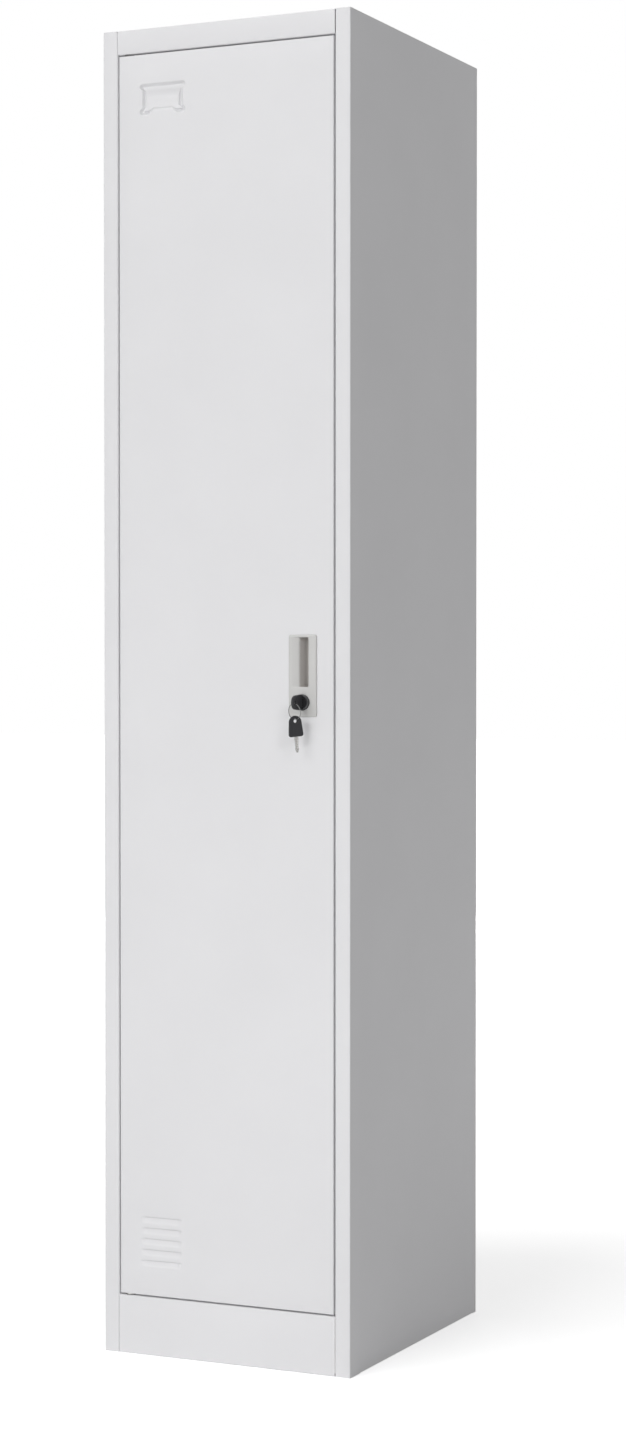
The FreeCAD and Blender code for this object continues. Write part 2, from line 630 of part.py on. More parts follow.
def door_stiffener():
    """Top-hat channel welded up the middle of the door's inside."""
    skin, crown = FRONT + SHEET, FRONT + SHEET + STIFFENER_DEPTH
    half, foot = STIFFENER_CROWN / 2, STIFFENER_CROWN / 2 + STIFFENER_FOOT
    run = [
        (-foot, skin),
        (-half, skin),
        (-half, crown - SHEET),
        (half, crown - SHEET),
        (half, skin),
        (foot, skin),
    ]
    return folded(run, 1, "xy", DOOR_BOTTOM + STIFFENER_END_GAP, DOOR_TOP - STIFFENER_END_GAP)


# Hinge pivots

GUIDE_TOP = DOOR_TOP - SHEET - GUIDE_DROP


def hinge_guide():
    """Bracket welded inside the door's left edge, whose arm steadies the upper pin."""
    leg_x = -DOOR_X + SHEET
    run = [
        (leg_x, DOOR_TOP - SHEET - GUIDE_LEG_TOP_GAP),
        (leg_x, GUIDE_TOP - GUIDE_SHEET),
        (leg_x + GUIDE_ARM, GUIDE_TOP - GUIDE_SHEET),
    ]
    front = FRONT + SHEET + BEND + GUIDE_FRONT_GAP
    bracket = folded(run, 1, "xz", front, front + GUIDE_WIDTH, GUIDE_SHEET, GUIDE_BEND)
    base = FreeCAD.Vector(PIVOT_X, PIVOT_Y, GUIDE_TOP - 2 * GUIDE_SHEET)
    return bracket.cut(rod(PIN_DIAMETER + 2 * PIN_FIT, 3 * GUIDE_SHEET, base, Z_AXIS))


def hinge_pin_top():
    """Headed pin pushed up through the guide and the door's top return into the header's bush."""
    r, groove = PIN_DIAMETER / 2, CLIP_GROOVE / 2
    arm = GUIDE_TOP - GUIDE_SHEET
    tip = HEADER_Z + PIN_REACH
    profile = [
        (0, arm - PIN_TAIL - PIN_HEAD_HEIGHT),
        (PIN_HEAD / 2, arm - PIN_TAIL - PIN_HEAD_HEIGHT),
        (PIN_HEAD / 2, arm - PIN_TAIL),
        (r, arm - PIN_TAIL),
        (r, GUIDE_TOP),
        (groove, GUIDE_TOP),
        (groove, GUIDE_TOP + CLIP_THICK),
        (r, GUIDE_TOP + CLIP_THICK),
        (r, tip - PIN_TIP),
        (r - PIN_TIP, tip),
        (0, tip),
    ]
    return turned(profile, FreeCAD.Vector(PIVOT_X, PIVOT_Y, 0), Z_AXIS)


def hinge_clip():
    """Retaining clip in the upper pin's groove; it lies on the guide's arm and carries the pin."""
    base = FreeCAD.Vector(PIVOT_X, PIVOT_Y, GUIDE_TOP)
    ring = rod(CLIP_DIAMETER, CLIP_THICK, base, Z_AXIS).cut(rod(CLIP_GROOVE, CLIP_THICK, base, Z_AXIS))
    mouth = block(PIVOT_X - CLIP_MOUTH / 2, PIVOT_X + CLIP_MOUTH / 2, PIVOT_Y, PIVOT_Y + CLIP_DIAMETER,
                  GUIDE_TOP, GUIDE_TOP + CLIP_THICK)
    return ring.cut(mouth)


def hinge_pin_bottom():
    """Pin riveted into the door's lower return; its collar stands on the floor's bush under the door."""
    r = PIN_DIAMETER / 2
    tip = PLINTH_FACE - PIN_REACH
    inside = DOOR_BOTTOM + SHEET
    profile = [
        (0, tip),
        (r - PIN_TIP, tip),
        (r, tip + PIN_TIP),
        (r, PLINTH_FACE + BUSH_FLANGE_THICK),
        (COLLAR_DIAMETER / 2, PLINTH_FACE + BUSH_FLANGE_THICK),
        (COLLAR_DIAMETER / 2, DOOR_BOTTOM),
        (RIVET_SHANK / 2, DOOR_BOTTOM),
        (RIVET_SHANK / 2, inside),
        (RIVET_HEAD / 2, inside),
        (RIVET_SHANK / 2, inside + RIVET_HEAD_HEIGHT),
        (0, inside + RIVET_HEAD_HEIGHT),
    ]
    return turned(profile, FreeCAD.Vector(PIVOT_X, PIVOT_Y, 0), Z_AXIS)


# Pull handle and lock housing

def handle_block(inset, front, back):
    """Block of the handle body's outline, made smaller all round by inset, with rounded corners."""
    edge = HANDLE_BODY_INSET + inset
    body = block(HANDLE_X - HANDLE_WIDTH / 2 + edge, HANDLE_X + HANDLE_WIDTH / 2 - edge, front, back,
                 HANDLE_BOTTOM + edge, HANDLE_BOTTOM + HANDLE_HEIGHT - edge)
    return rounded(body, HANDLE_CORNER - inset, lambda edge: runs_along(edge, Y_AXIS))


def finger_pocket():
    """Space of the pull: a shallow ramp on the left, a steeper slope to the floor, and finger room behind
    the right rim."""
    face = FRONT - HANDLE_PROUD
    floor = FRONT + POCKET_DEPTH
    right = POCKET_X + POCKET_MOUTH
    deep = right + POCKET_UNDERCUT
    nose = face + POCKET_RIM
    ramp_x = POCKET_X + POCKET_RAMP_RUN
    outline = [
        (POCKET_X, face - SHEET),
        (POCKET_X, face),
        (ramp_x, face + POCKET_RAMP_DROP),
        (ramp_x + POCKET_SLOPE_RUN, floor),
        (deep, floor),
        (deep, nose + POCKET_RIM),
        (right, nose),
        (right, face - SHEET),
    ]
    pocket = prism(outline, "xy", POCKET_Z, POCKET_Z + POCKET_HEIGHT)

    def soft_edge(edge):
        middle = edge.CenterOfMass
        bent = abs(middle.y - floor) < 1e-6 or abs(middle.x - ramp_x) < 1e-6
        return bent and runs_along(edge, Z_AXIS)

    return rounded(pocket, POCKET_ROUND, soft_edge)


def ramp_core(rear):
    """Hollow behind the pocket's ramp and slope, open to the rear, that keeps the moulding's walls even."""
    wall = HANDLE_BODY_INSET + HANDLE_WALL
    ramp_foot = FRONT - HANDLE_PROUD + POCKET_RAMP_DROP
    fall = (FRONT + POCKET_DEPTH - ramp_foot) / POCKET_SLOPE_RUN
    back_off = HANDLE_WALL * math.hypot(1, fall) / fall
    left = HANDLE_X - HANDLE_WIDTH / 2 + wall
    front, end = ramp_foot + HANDLE_WALL, rear + SHEET

    def slope_x(y):
        return POCKET_X + POCKET_RAMP_RUN + (y - ramp_foot) / fall - back_off

    outline = [(left, front), (slope_x(front), front), (slope_x(end), end), (left, end)]
    return prism(outline, "xy", POCKET_Z, HANDLE_BOTTOM + HANDLE_HEIGHT - wall)


def handle_housing():
    """Moulded pull: bezel plate over the door's cut-out, a cup behind it, and a bay for the lock."""
    left, right = HANDLE_X - HANDLE_WIDTH / 2, HANDLE_X + HANDLE_WIDTH / 2
    face, rear = FRONT - HANDLE_PROUD, FRONT + POCKET_DEPTH + HANDLE_FLOOR
    plate = block(left, right, face, FRONT, HANDLE_BOTTOM, HANDLE_BOTTOM + HANDLE_HEIGHT)
    plate = rounded(plate, HANDLE_CORNER, lambda edge: runs_along(edge, Y_AXIS))
    plate = rounded(plate, HANDLE_EDGE, lambda edge: abs(edge.CenterOfMass.y - face) < 1e-6)
    housing = joined(plate, handle_block(0, FRONT - HANDLE_PROUD / 2, rear)).cut(finger_pocket())

    wall = HANDLE_BODY_INSET + HANDLE_WALL
    bay = block(left + wall, right - wall, FRONT + LOCK_BAY_FACE, rear + SHEET,
                HANDLE_BOTTOM + wall, POCKET_Z - HANDLE_WALL)
    hole = rod(SHANK_DIAMETER + 2 * SHANK_FIT, rear - face, lock_point(face - SHEET), Y_AXIS)
    housing = housing.cut(bay).cut(hole).cut(ramp_core(rear))

    # Snap barbs behind the door's sheet, two on each long side.
    catch = FRONT + SHEET + BARB_GAP
    barbs = []
    for hand, edge in ((-1, left + HANDLE_BODY_INSET), (1, right - HANDLE_BODY_INSET)):
        wedge = [(edge, catch), (edge + hand * BARB_REACH, catch), (edge, catch + BARB_DEPTH)]
        for z in (LOCK_Z, POCKET_Z + POCKET_HEIGHT / 2):
            barbs.append(prism(wedge, "xy", z - BARB_HEIGHT / 2, z + BARB_HEIGHT / 2))
    return joined(housing, *barbs)


# Cam lock

def lock_point(y):
    """The point of the lock's axis at y."""
    return FreeCAD.Vector(HANDLE_X, y, LOCK_Z)


def lock_barrel():
    """Fixed barrel: domed bezel in front, shank with two flats behind."""
    bore = PLUG_DIAMETER / 2 + PLUG_FIT
    face, seat, end = BEZEL_Y, FRONT - HANDLE_PROUD, CAM_Y - SHANK_END_GAP
    bezel, shank = BEZEL_DIAMETER / 2, SHANK_DIAMETER / 2
    profile = [
        (bore, face),
        (bezel - BEZEL_EDGE, face),
        (bezel, face + BEZEL_EDGE),
        (bezel, seat),
        (shank, seat),
        (shank, end),
        (bore, end),
    ]
    barrel = turned(profile, lock_point(0), Y_AXIS)
    behind = FRONT + LOCK_BAY_FACE
    for hand in (-1, 1):
        low, high = sorted((HANDLE_X + hand * SHANK_FLATS / 2, HANDLE_X + hand * SHANK_DIAMETER))
        barrel = barrel.cut(block(low, high, behind, end + SHEET,
                                  LOCK_Z - SHANK_DIAMETER, LOCK_Z + SHANK_DIAMETER))
    return barrel


def lock_nut():
    """Hexagon nut that clamps the barrel in the housing's bay."""
    radius = NUT_FLATS / math.sqrt(3)
    angles = [math.radians(60 * k) for k in range(6)]
    corners = [(HANDLE_X + radius * math.cos(a), LOCK_Z + radius * math.sin(a)) for a in angles]
    seat = FRONT + LOCK_BAY_FACE
    nut = prism(corners, "xz", seat, seat + NUT_THICK)
    return nut.cut(rod(SHANK_DIAMETER + 2 * SHANK_FIT, NUT_THICK, lock_point(seat), Y_AXIS))


def lock_plug():
    """Turning plug with its keyway, and a square tang behind that drives the cam."""
    plug = rod(PLUG_DIAMETER, CAM_Y - BEZEL_Y, lock_point(BEZEL_Y), Y_AXIS)
    tang = block(HANDLE_X - TANG / 2, HANDLE_X + TANG / 2, CAM_Y, CAM_Y + CAM_THICK,
                 LOCK_Z - TANG / 2, LOCK_Z + TANG / 2)
    half_x, half_z = BLADE_THICK / 2 + KEYWAY_GAP, BLADE_WIDTH / 2 + KEYWAY_GAP
    keyway = block(HANDLE_X - half_x, HANDLE_X + half_x, BEZEL_Y, SHOULDER_Y + BLADE_LENGTH + KEYWAY_GAP,
                   LOCK_Z - half_z, LOCK_Z + half_z)
    end = CAM_Y + CAM_THICK
    thread = rod(SCREW_SHANK, SCREW_LENGTH, lock_point(end - SCREW_LENGTH), Y_AXIS)
    return joined(plug, tang).cut(keyway).cut(thread)


def lock_cam():
    """Flat cam on the plug's tang; it hangs down unlocked and turns behind the strike lip to lock."""
    half = CAM_WIDTH / 2
    rear = CAM_Y + CAM_THICK
    low = LOCK_Z - CAM_REACH + half
    strip = block(HANDLE_X - half, HANDLE_X + half, CAM_Y, rear, low, LOCK_Z)
    ends = [rod(CAM_WIDTH, CAM_THICK, FreeCAD.Vector(HANDLE_X, CAM_Y, z), Y_AXIS) for z in (LOCK_Z, low)]
    square = TANG / 2 + TANG_FIT
    hole = block(HANDLE_X - square, HANDLE_X + square, CAM_Y, rear, LOCK_Z - square, LOCK_Z + square)
    return joined(strip, *ends).cut(hole)


def cam_screw():
    """Slotted screw that holds the cam on the tang."""
    seat = CAM_Y + CAM_THICK
    top = seat + SCREW_HEAD_HEIGHT
    shank, head = SCREW_SHANK / 2, SCREW_HEAD / 2
    profile = [
        (0, seat - SCREW_LENGTH),
        (shank, seat - SCREW_LENGTH),
        (shank, seat),
        (head, seat),
        (head, top - SCREW_EDGE),
        (head - SCREW_EDGE, top),
        (0, top),
    ]
    slot = block(HANDLE_X - SCREW_HEAD, HANDLE_X + SCREW_HEAD, top - SCREW_SLOT, top + SCREW_SLOT,
                 LOCK_Z - SCREW_SLOT / 2, LOCK_Z + SCREW_SLOT / 2)
    return turned(profile, lock_point(0), Y_AXIS).cut(slot)


# Keys: made with the shoulder at the origin, the blade along +Y, the bow along -Y and the thickness along X

def blade():
    """Flat key blade with a point, shallow bits and a tongue that the bow is moulded on."""
    half = BLADE_WIDTH / 2
    outline = [
        (-BLADE_ROOT, -BLADE_ROOT_WIDTH / 2),
        (-BLADE_SEAT, -BLADE_ROOT_WIDTH / 2),
        (-BLADE_SEAT, -half),
        (BLADE_LENGTH - BLADE_POINT, -half),
        (BLADE_LENGTH, -BLADE_TIP_WIDTH / 2),
        (BLADE_LENGTH, BLADE_TIP_WIDTH / 2),
        (BLADE_LENGTH - BLADE_POINT, half),
        (-BLADE_SEAT, half),
        (-BLADE_SEAT, BLADE_ROOT_WIDTH / 2),
        (-BLADE_ROOT, BLADE_ROOT_WIDTH / 2),
    ]
    key = prism(outline, "yz", -BLADE_THICK / 2, BLADE_THICK / 2)
    pitch = (BLADE_LENGTH - 2 * BLADE_POINT) / (BLADE_BITS - 1)
    for index in range(BLADE_BITS):
        middle = BLADE_POINT + index * pitch
        depth = BIT_DEEP if index % 2 else BIT_SHALLOW
        notch = [(middle - BIT_WIDTH / 2, -half), (middle, -half + depth), (middle + BIT_WIDTH / 2, -half)]
        key = key.cut(prism(notch, "yz", -BLADE_THICK, BLADE_THICK))
    return key


def bow():
    """Moulded key head: straight sides that close in slightly, an arched outer end, a hole for the ring."""
    half, arch = BOW_WIDTH / 2, BOW_TOP_WIDTH / 2
    spring = -BOW_LENGTH + arch
    corners = [FreeCAD.Vector(-BOW_THICK / 2, y, z) for y, z in
               ((0, -half), (0, half), (spring, arch), (-BOW_LENGTH, 0), (spring, -arch))]
    low, high, high_arch, end, low_arch = corners
    edges = [
        Part.LineSegment(low, high),
        Part.LineSegment(high, high_arch),
        Part.Arc(high_arch, end, low_arch),
        Part.LineSegment(low_arch, low),
    ]
    face = Part.Face(Part.Wire([edge.toShape() for edge in edges]))
    head = face.extrude(X_AXIS * BOW_THICK)
    head = rounded(head, BOW_CORNER, lambda e: runs_along(e, X_AXIS) and abs(e.CenterOfMass.y) < 1e-6)
    head = rounded(head, BOW_EDGE, lambda e: not runs_along(e, X_AXIS))
    hole = FreeCAD.Vector(-BOW_THICK, -BOW_LENGTH + BOW_HOLE_INSET, 0)
    head = head.cut(rod(BOW_HOLE, 2 * BOW_THICK, hole, X_AXIS))
    return head.cut(blade())


def in_lock(shape):
    """A key piece put into the lock."""
    shape.translate(FreeCAD.Vector(HANDLE_X, SHOULDER_Y, LOCK_Z))
    return shape


def on_ring(shape):
    """A key piece hung blade down from the ring, turned about the vertical and leaning towards the door."""
    shape.translate(Y_AXIS * (BOW_LENGTH - BOW_HOLE_INSET))
    shape.rotate(FreeCAD.Vector(0, 0, 0), X_AXIS, -90)
    shape.rotate(FreeCAD.Vector(0, 0, 0), Z_AXIS, SPARE_TURN)
    shape.rotate(FreeCAD.Vector(0, 0, 0), SPARE_AXIS, SPARE_LEAN)
    shape.translate(FreeCAD.Vector(HANDLE_X, SPARE_HOLE_Y, SPARE_HOLE_Z))
    return shape


def key_ring():
    """Wire ring through the holes of both bows, leaning towards the door."""
    turn = math.radians(RING_TURN)
    normal = FreeCAD.Vector(-math.sin(turn), math.cos(turn), 0)
    centre = FreeCAD.Vector(HANDLE_X, KEY_HOLE_Y, RING_TOP_Z - RING_DIAMETER / 2)
    ring = Part.makeTorus(RING_DIAMETER / 2, RING_WIRE / 2, centre, normal)
    ring.rotate(FreeCAD.Vector(HANDLE_X, KEY_HOLE_Y, LOCK_Z), X_AXIS, RING_LEAN)
    return ring


PIECES = {
    "left_side_panel": lambda: side_panel(-1, False),
    "right_side_panel": lambda: side_panel(1, True),
    "back_panel": back_panel,
    "top_panel": top_panel,
    "floor_panel": floor_panel,
    "hat_shelf": hat_shelf,
    "shelf_runner_left": lambda: shelf_runner(-1),
    "shelf_runner_right": lambda: shelf_runner(1),
    "coat_rail": coat_rail,
    "rail_bracket_left": lambda: rail_bracket(-1),
    "rail_bracket_right": lambda: rail_bracket(1),
    "hinge_bush_top": lambda: hinge_bush(HEADER_Z, 1),
    "hinge_bush_bottom": lambda: hinge_bush(PLINTH_FACE, -1),
    "door_bumpers": door_bumpers,
    "door_panel": door_panel,
    "door_stiffener": door_stiffener,
    "hinge_guide_top": hinge_guide,
    "hinge_pin_top": hinge_pin_top,
    "hinge_clip_top": hinge_clip,
    "hinge_pin_bottom": hinge_pin_bottom,
    "handle_housing": handle_housing,
    "lock_barrel": lock_barrel,
    "lock_nut": lock_nut,
    "lock_plug": lock_plug,
    "lock_cam": lock_cam,
    "cam_screw": cam_screw,
    "key_blade": lambda: in_lock(blade()),
    "key_bow": lambda: in_lock(bow()),
    "key_ring": key_ring,
    "spare_key_blade": lambda: on_ring(blade()),
    "spare_key_bow": lambda: on_ring(bow()),
}

os.makedirs("parts", exist_ok=True)
for name, make in PIECES.items():
    make().exportStep(os.path.join("parts", name + ".step"))
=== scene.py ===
import math
import bmesh
import bpy
import numpy as np
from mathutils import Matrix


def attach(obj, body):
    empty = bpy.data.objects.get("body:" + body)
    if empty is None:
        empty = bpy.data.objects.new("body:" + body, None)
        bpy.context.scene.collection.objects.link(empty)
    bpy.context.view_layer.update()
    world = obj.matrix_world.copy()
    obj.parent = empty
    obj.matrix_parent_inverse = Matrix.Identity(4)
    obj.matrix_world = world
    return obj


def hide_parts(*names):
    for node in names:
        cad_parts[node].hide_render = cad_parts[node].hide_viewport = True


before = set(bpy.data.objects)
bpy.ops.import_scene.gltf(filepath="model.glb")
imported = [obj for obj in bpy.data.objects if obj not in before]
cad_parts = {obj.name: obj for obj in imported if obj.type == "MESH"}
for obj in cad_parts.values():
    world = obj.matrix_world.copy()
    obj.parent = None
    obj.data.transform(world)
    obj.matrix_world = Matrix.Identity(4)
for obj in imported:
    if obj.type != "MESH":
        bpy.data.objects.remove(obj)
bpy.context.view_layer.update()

# Side panels: one 0.8 mm steel sheet on each side, folded into side wall, front post and rear flange, with a foot
# turned in along the floor. The right post carries the strike lip. Light grey powder coat, sheets spot-welded.
sheet, bend, post_bend = 0.0008, 0.0008, 0.0020
rear_flange, seam = 0.018, 0.0006
half_width, front, height = 0.190, -0.450, 1.850
post_x, return_y, lip_x = 0.167, front + 0.022, 0.159
lip_low, lip_high = 0.092, 1.8065
foot, foot_front, foot_back = 0.015, front + 0.032, -0.0116
ear_seat = height - sheet - seam


def carried(loops, wrap=False):
    """Closed loops of equal count, joined by quads from each loop to the next. With wrap the last loop joins the
    first, as round a ring; otherwise the first and last loops are filled as end faces."""
    loops = np.asarray(loops, float)
    index = np.arange(loops.shape[0] * loops.shape[1]).reshape(loops.shape[:2])
    rows = np.vstack([index, index[:1]]) if wrap else index
    a, b = rows[:-1], rows[1:]
    faces = np.stack([a, np.roll(a, -1, 1), np.roll(b, -1, 1), b], -1).reshape(-1, 4).tolist()
    if not wrap:
        faces += [index[0, ::-1].tolist(), index[-1].tolist()]
    return loops.reshape(-1, 3), faces


def folded_sheet(run, metal, plane, start, end, thick=sheet, inner=bend, steps=6):
    """Section of a folded sheet carried straight from start to end. One face follows run, the other lies a
    thickness to its left (metal 1) or right (metal -1). Each corner is an arc about one centre for both faces:
    it begins radius * tan(turn / 2) before the corner, and its spoke turns evenly through the corner's angle.
    inner is one inside radius for all corners, or one for each."""
    run = np.asarray(run, float)
    way = np.diff(run, axis=0) / np.linalg.norm(np.diff(run, axis=0), axis=1)[:, None]
    left = np.stack([-way[:, 1], way[:, 0]], -1)
    into, out_of, side = way[:-1], way[1:], left[:-1]
    turn = np.arctan2(into[:, 0] * out_of[:, 1] - into[:, 1] * out_of[:, 0], (into * out_of).sum(1))
    hand, inner = np.sign(turn)[:, None], np.broadcast_to(inner, len(turn))[:, None]
    radius = np.where(metal * hand > 0, inner + thick, inner)
    centre = run[1:-1] - into * radius * np.tan(abs(turn) / 2)[:, None] + side * hand * radius
    angle = turn[:, None] * np.linspace(0, 1, steps + 1)
    spoke = -hand * side
    c, s = np.cos(angle), np.sin(angle)
    rays = np.stack([spoke[:, :1] * c - spoke[:, 1:] * s, spoke[:, :1] * s + spoke[:, 1:] * c], -1)
    ends = metal * thick * left[[0, -1]]
    near = (centre[:, None] + rays * radius[:, None]).reshape(-1, 2)
    far = (centre[:, None] + rays * (2 * inner + thick - radius)[:, None]).reshape(-1, 2)
    near = np.vstack([run[:1], near, run[-1:]])
    far = np.vstack([run[:1] + ends[:1], far, run[-1:] + ends[1:]])
    loop = np.vstack([near, far[::-1]])
    order = {"xy": [0, 1, 2], "yz": [2, 0, 1], "xz": [0, 2, 1]}[plane]
    loops = [np.column_stack([loop, np.full(len(loop), w)])[:, order] for w in (start, end)]
    points, faces = carried(loops)
    i, n = np.arange(len(near) - 1), len(loop)
    cap = np.stack([i, i + 1, n - 2 - i, n - 1 - i], -1)
    return points, faces[:-2] + cap.tolist() + (cap + n).tolist()


def finished(name, patches, node, body, finish, crease=35):
    """One object from patches of (points, faces) laid after each other, with faces turned outwards. Faces that
    meet flatter than the crease angle shade as one curve. It stands for node and moves with body."""
    first = np.cumsum([0] + [len(points) for points, _ in patches])
    faces = [[v + k for v in face] for (_, some), k in zip(patches, first.tolist()) for face in some]
    mesh = bpy.data.meshes.new(name)
    mesh.from_pydata(np.concatenate([points for points, _ in patches]).tolist(), [], faces)
    shell = bmesh.new()
    shell.from_mesh(mesh)
    bmesh.ops.recalc_face_normals(shell, faces=shell.faces)
    shell.to_mesh(mesh)
    shell.free()
    mesh.polygons.foreach_set("use_smooth", np.ones(len(mesh.polygons), bool))
    mesh.set_sharp_from_angle(angle=math.radians(crease))
    mesh.materials.append(finish)
    piece = bpy.data.objects.new(name, mesh)
    bpy.context.collection.objects.link(piece)
    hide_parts(node)
    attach(piece, body)


def coated(name, tones, rough, grain, lift, wave=0.0):
    """Painted or moulded skin. Colour drifts between two tones over about 15 cm, roughness between two values
    with the grain, and a two-octave noise of that grain lifts the surface; wave adds a broad slow swell, as
    thin sheet has between its folds. Lengths are in metres."""
    finish = bpy.data.materials.new(name)
    finish.use_nodes = True
    nodes, join = finish.node_tree.nodes, finish.node_tree.links.new
    shader = nodes["Principled BSDF"]
    place = nodes.new("ShaderNodeTexCoord").outputs["Object"]
    drift = nodes.new("ShaderNodeTexNoise")
    drift.inputs["Scale"].default_value = 7
    drift.inputs["Detail"].default_value = 3
    join(place, drift.inputs["Vector"])
    tone = nodes.new("ShaderNodeValToRGB")
    tone.color_ramp.elements[0].position = 0.3
    tone.color_ramp.elements[1].position = 0.7
    for stop, colour in zip(tone.color_ramp.elements, tones):
        stop.color = (*colour, 1)
    join(drift.outputs["Fac"], tone.inputs["Fac"])
    join(tone.outputs["Color"], shader.inputs["Base Color"])
    peel = nodes.new("ShaderNodeTexNoise")
    peel.inputs["Scale"].default_value = 1 / grain
    peel.inputs["Detail"].default_value = 1
    join(place, peel.inputs["Vector"])
    gloss = nodes.new("ShaderNodeMapRange")
    gloss.inputs["To Min"].default_value, gloss.inputs["To Max"].default_value = rough
    join(peel.outputs["Fac"], gloss.inputs["Value"])
    join(gloss.outputs["Result"], shader.inputs["Roughness"])
    skin = nodes.new("ShaderNodeBump")
    skin.inputs["Strength"].default_value = 1
    skin.inputs["Distance"].default_value = lift
    join(peel.outputs["Fac"], skin.inputs["Height"])
    if wave:
        swell = nodes.new("ShaderNodeTexNoise")
        swell.inputs["Scale"].default_value = 5
        swell.inputs["Detail"].default_value = 0
        join(place, swell.inputs["Vector"])
        slow = nodes.new("ShaderNodeBump")
        slow.inputs["Strength"].default_value = 1
        slow.inputs["Distance"].default_value = wave
        join(swell.outputs["Fac"], slow.inputs["Height"])
        join(slow.outputs["Normal"], skin.inputs["Normal"])
    join(skin.outputs["Normal"], shader.inputs["Normal"])
    return finish


powder_coat = coated("powder coat", [(0.738, 0.736, 0.750), (0.758, 0.756, 0.770)], (0.42, 0.56), 0.0011, 0.00002,
                     0.0004)

for hand, name in ((-1, "left_side"), (1, "right_side")):
    edge = hand * half_width
    flange = [(hand * (half_width - rear_flange), -sheet), (edge, -sheet)]
    post = [(edge, front), (hand * post_x, front), (hand * post_x, return_y)]
    lip, lip_bend = ([(hand * lip_x, return_y)], (bend,)) if hand > 0 else ([], ())
    ear = [(edge, front), (hand * (post_x + sheet + bend), front)]
    sole = [(edge, foot), (edge, 0), (hand * (half_width - foot), 0)]
    corners = (bend, bend, post_bend)
    folds = [
        folded_sheet(flange + post, -hand, "xy", foot, lip_low, inner=corners),
        folded_sheet(flange + post + lip, -hand, "xy", lip_low, lip_high, inner=corners + lip_bend),
        folded_sheet(flange + post, -hand, "xy", lip_high, ear_seat, inner=corners),
        folded_sheet(flange + ear, -hand, "xy", ear_seat, height),
        folded_sheet([(edge, foot_front)] + post, -hand, "xy", 0, foot, inner=corners[1:]),
        folded_sheet(flange + [(edge, foot_back)], -hand, "xy", 0, foot),
        folded_sheet(sole, -hand, "xz", foot_front, foot_back),
    ]
    finished(name + "_sheet", folds, name + "_panel", "carcass", powder_coat)

# Back: a flat sheet of the same steel and coat, lapped over the sides' rear flanges and spot-welded, with two
# holes for wall ties. The CAD sheet is kept as it is.
def kept(node, finish):
    """A CAD solid shown as it is, in the given finish."""
    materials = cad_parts[node].data.materials
    materials.clear()
    materials.append(finish)


kept("back_panel", powder_coat)

# Top pan: roof and header from one sheet set between the posts; the header turns under and up again behind the
# door's top, and the roof's wings reach over the hollow posts to flanges against the sides.
pan_seam, pan_flange = 0.0002, 0.020
pan_half, side_inner, weld_y = post_x - pan_seam, half_width - sheet, -2 * sheet
header_z, header_deep, header_lip = 1.8165, 0.028, 0.010
roof = [
    (weld_y, height - pan_flange),
    (weld_y, height),
    (front, height),
    (front, header_z),
    (front + header_deep, header_z),
    (front + header_deep, header_z + header_lip),
]


def pan_wing(hand, level, start):
    """Side strip of a pan, from its middle out to the side and down as a flange, carried from start to the back."""
    run = [(hand * pan_half, level), (hand * side_inner, level), (hand * side_inner, level - pan_flange)]
    return folded_sheet(run, -hand, "xz", start, weld_y - sheet - bend)


folds = [folded_sheet(roof, 1, "yz", -pan_half, pan_half)]
folds += [pan_wing(hand, height, front + sheet + bend + seam) for hand in (-1, 1)]
finished("roof_and_header", folds, "top_panel", "carcass", powder_coat)

# Floor pan: floor and plinth from one sheet, folded as the top pan is. Flat tongues on its wings close the
# hollow posts at floor level.
floor_z, plinth_foot = 0.082, 0.015
plinth = [
    (weld_y, floor_z - pan_flange),
    (weld_y, floor_z),
    (front, floor_z),
    (front, 0),
    (front + plinth_foot, 0),
]
wing_start = return_y + sheet + seam
folds = [folded_sheet(plinth, 1, "yz", -pan_half, pan_half)]
for hand in (-1, 1):
    tongue = [(hand * (post_x + sheet + seam), floor_z), (hand * (side_inner - sheet - bend), floor_z)]
    folds.append(pan_wing(hand, floor_z, wing_start))
    folds.append(folded_sheet(tongue, -hand, "xz", front + sheet + bend + seam, wing_start))
finished("floor_and_plinth", folds, "floor_panel", "carcass", powder_coat)

# Hat shelf: a tray with its front and rear edges folded down and the front one hemmed. It lies on two angles
# that are spot-welded to the sides; all of it painted with the carcass.
shelf_z, shelf_front, shelf_rear, shelf_half = 1.500, front + 0.050, -0.003, 0.1884
shelf_edge, shelf_hem = 0.022, 0.010
runner_drop, runner_ledge, runner_front, runner_rear = 0.020, 0.018, shelf_front + 0.014, shelf_rear - 0.004
tray = [
    (shelf_rear, shelf_z - shelf_edge),
    (shelf_rear, shelf_z),
    (shelf_front, shelf_z),
    (shelf_front, shelf_z - shelf_edge),
    (shelf_front + shelf_hem, shelf_z - shelf_edge),
]
patch = folded_sheet(tray, 1, "yz", -shelf_half, shelf_half)
finished("shelf_tray", [patch], "hat_shelf", "carcass", powder_coat)
for hand, name in ((-1, "left"), (1, "right")):
    level, wall = shelf_z - sheet, hand * side_inner
    angle = [(wall, level - runner_drop), (wall, level), (wall - hand * runner_ledge, level)]
    patch = folded_sheet(angle, hand, "xz", runner_front, runner_rear)
    finished("runner_angle_" + name, [patch], "shelf_runner_" + name, "carcass", powder_coat)

# Coat rail: a bright zinc-plated steel tube, cut square with its edges eased. It drops into two open cups that are
# pressed from sheet, welded to the sides under the shelf and painted with them. The cups' CAD solids are kept.
rail_y, rail_z, rail_half = -0.210, 1.425, 0.1874
rail_outer, rail_bore, rail_ease = 0.0095, 0.0083, 0.0002


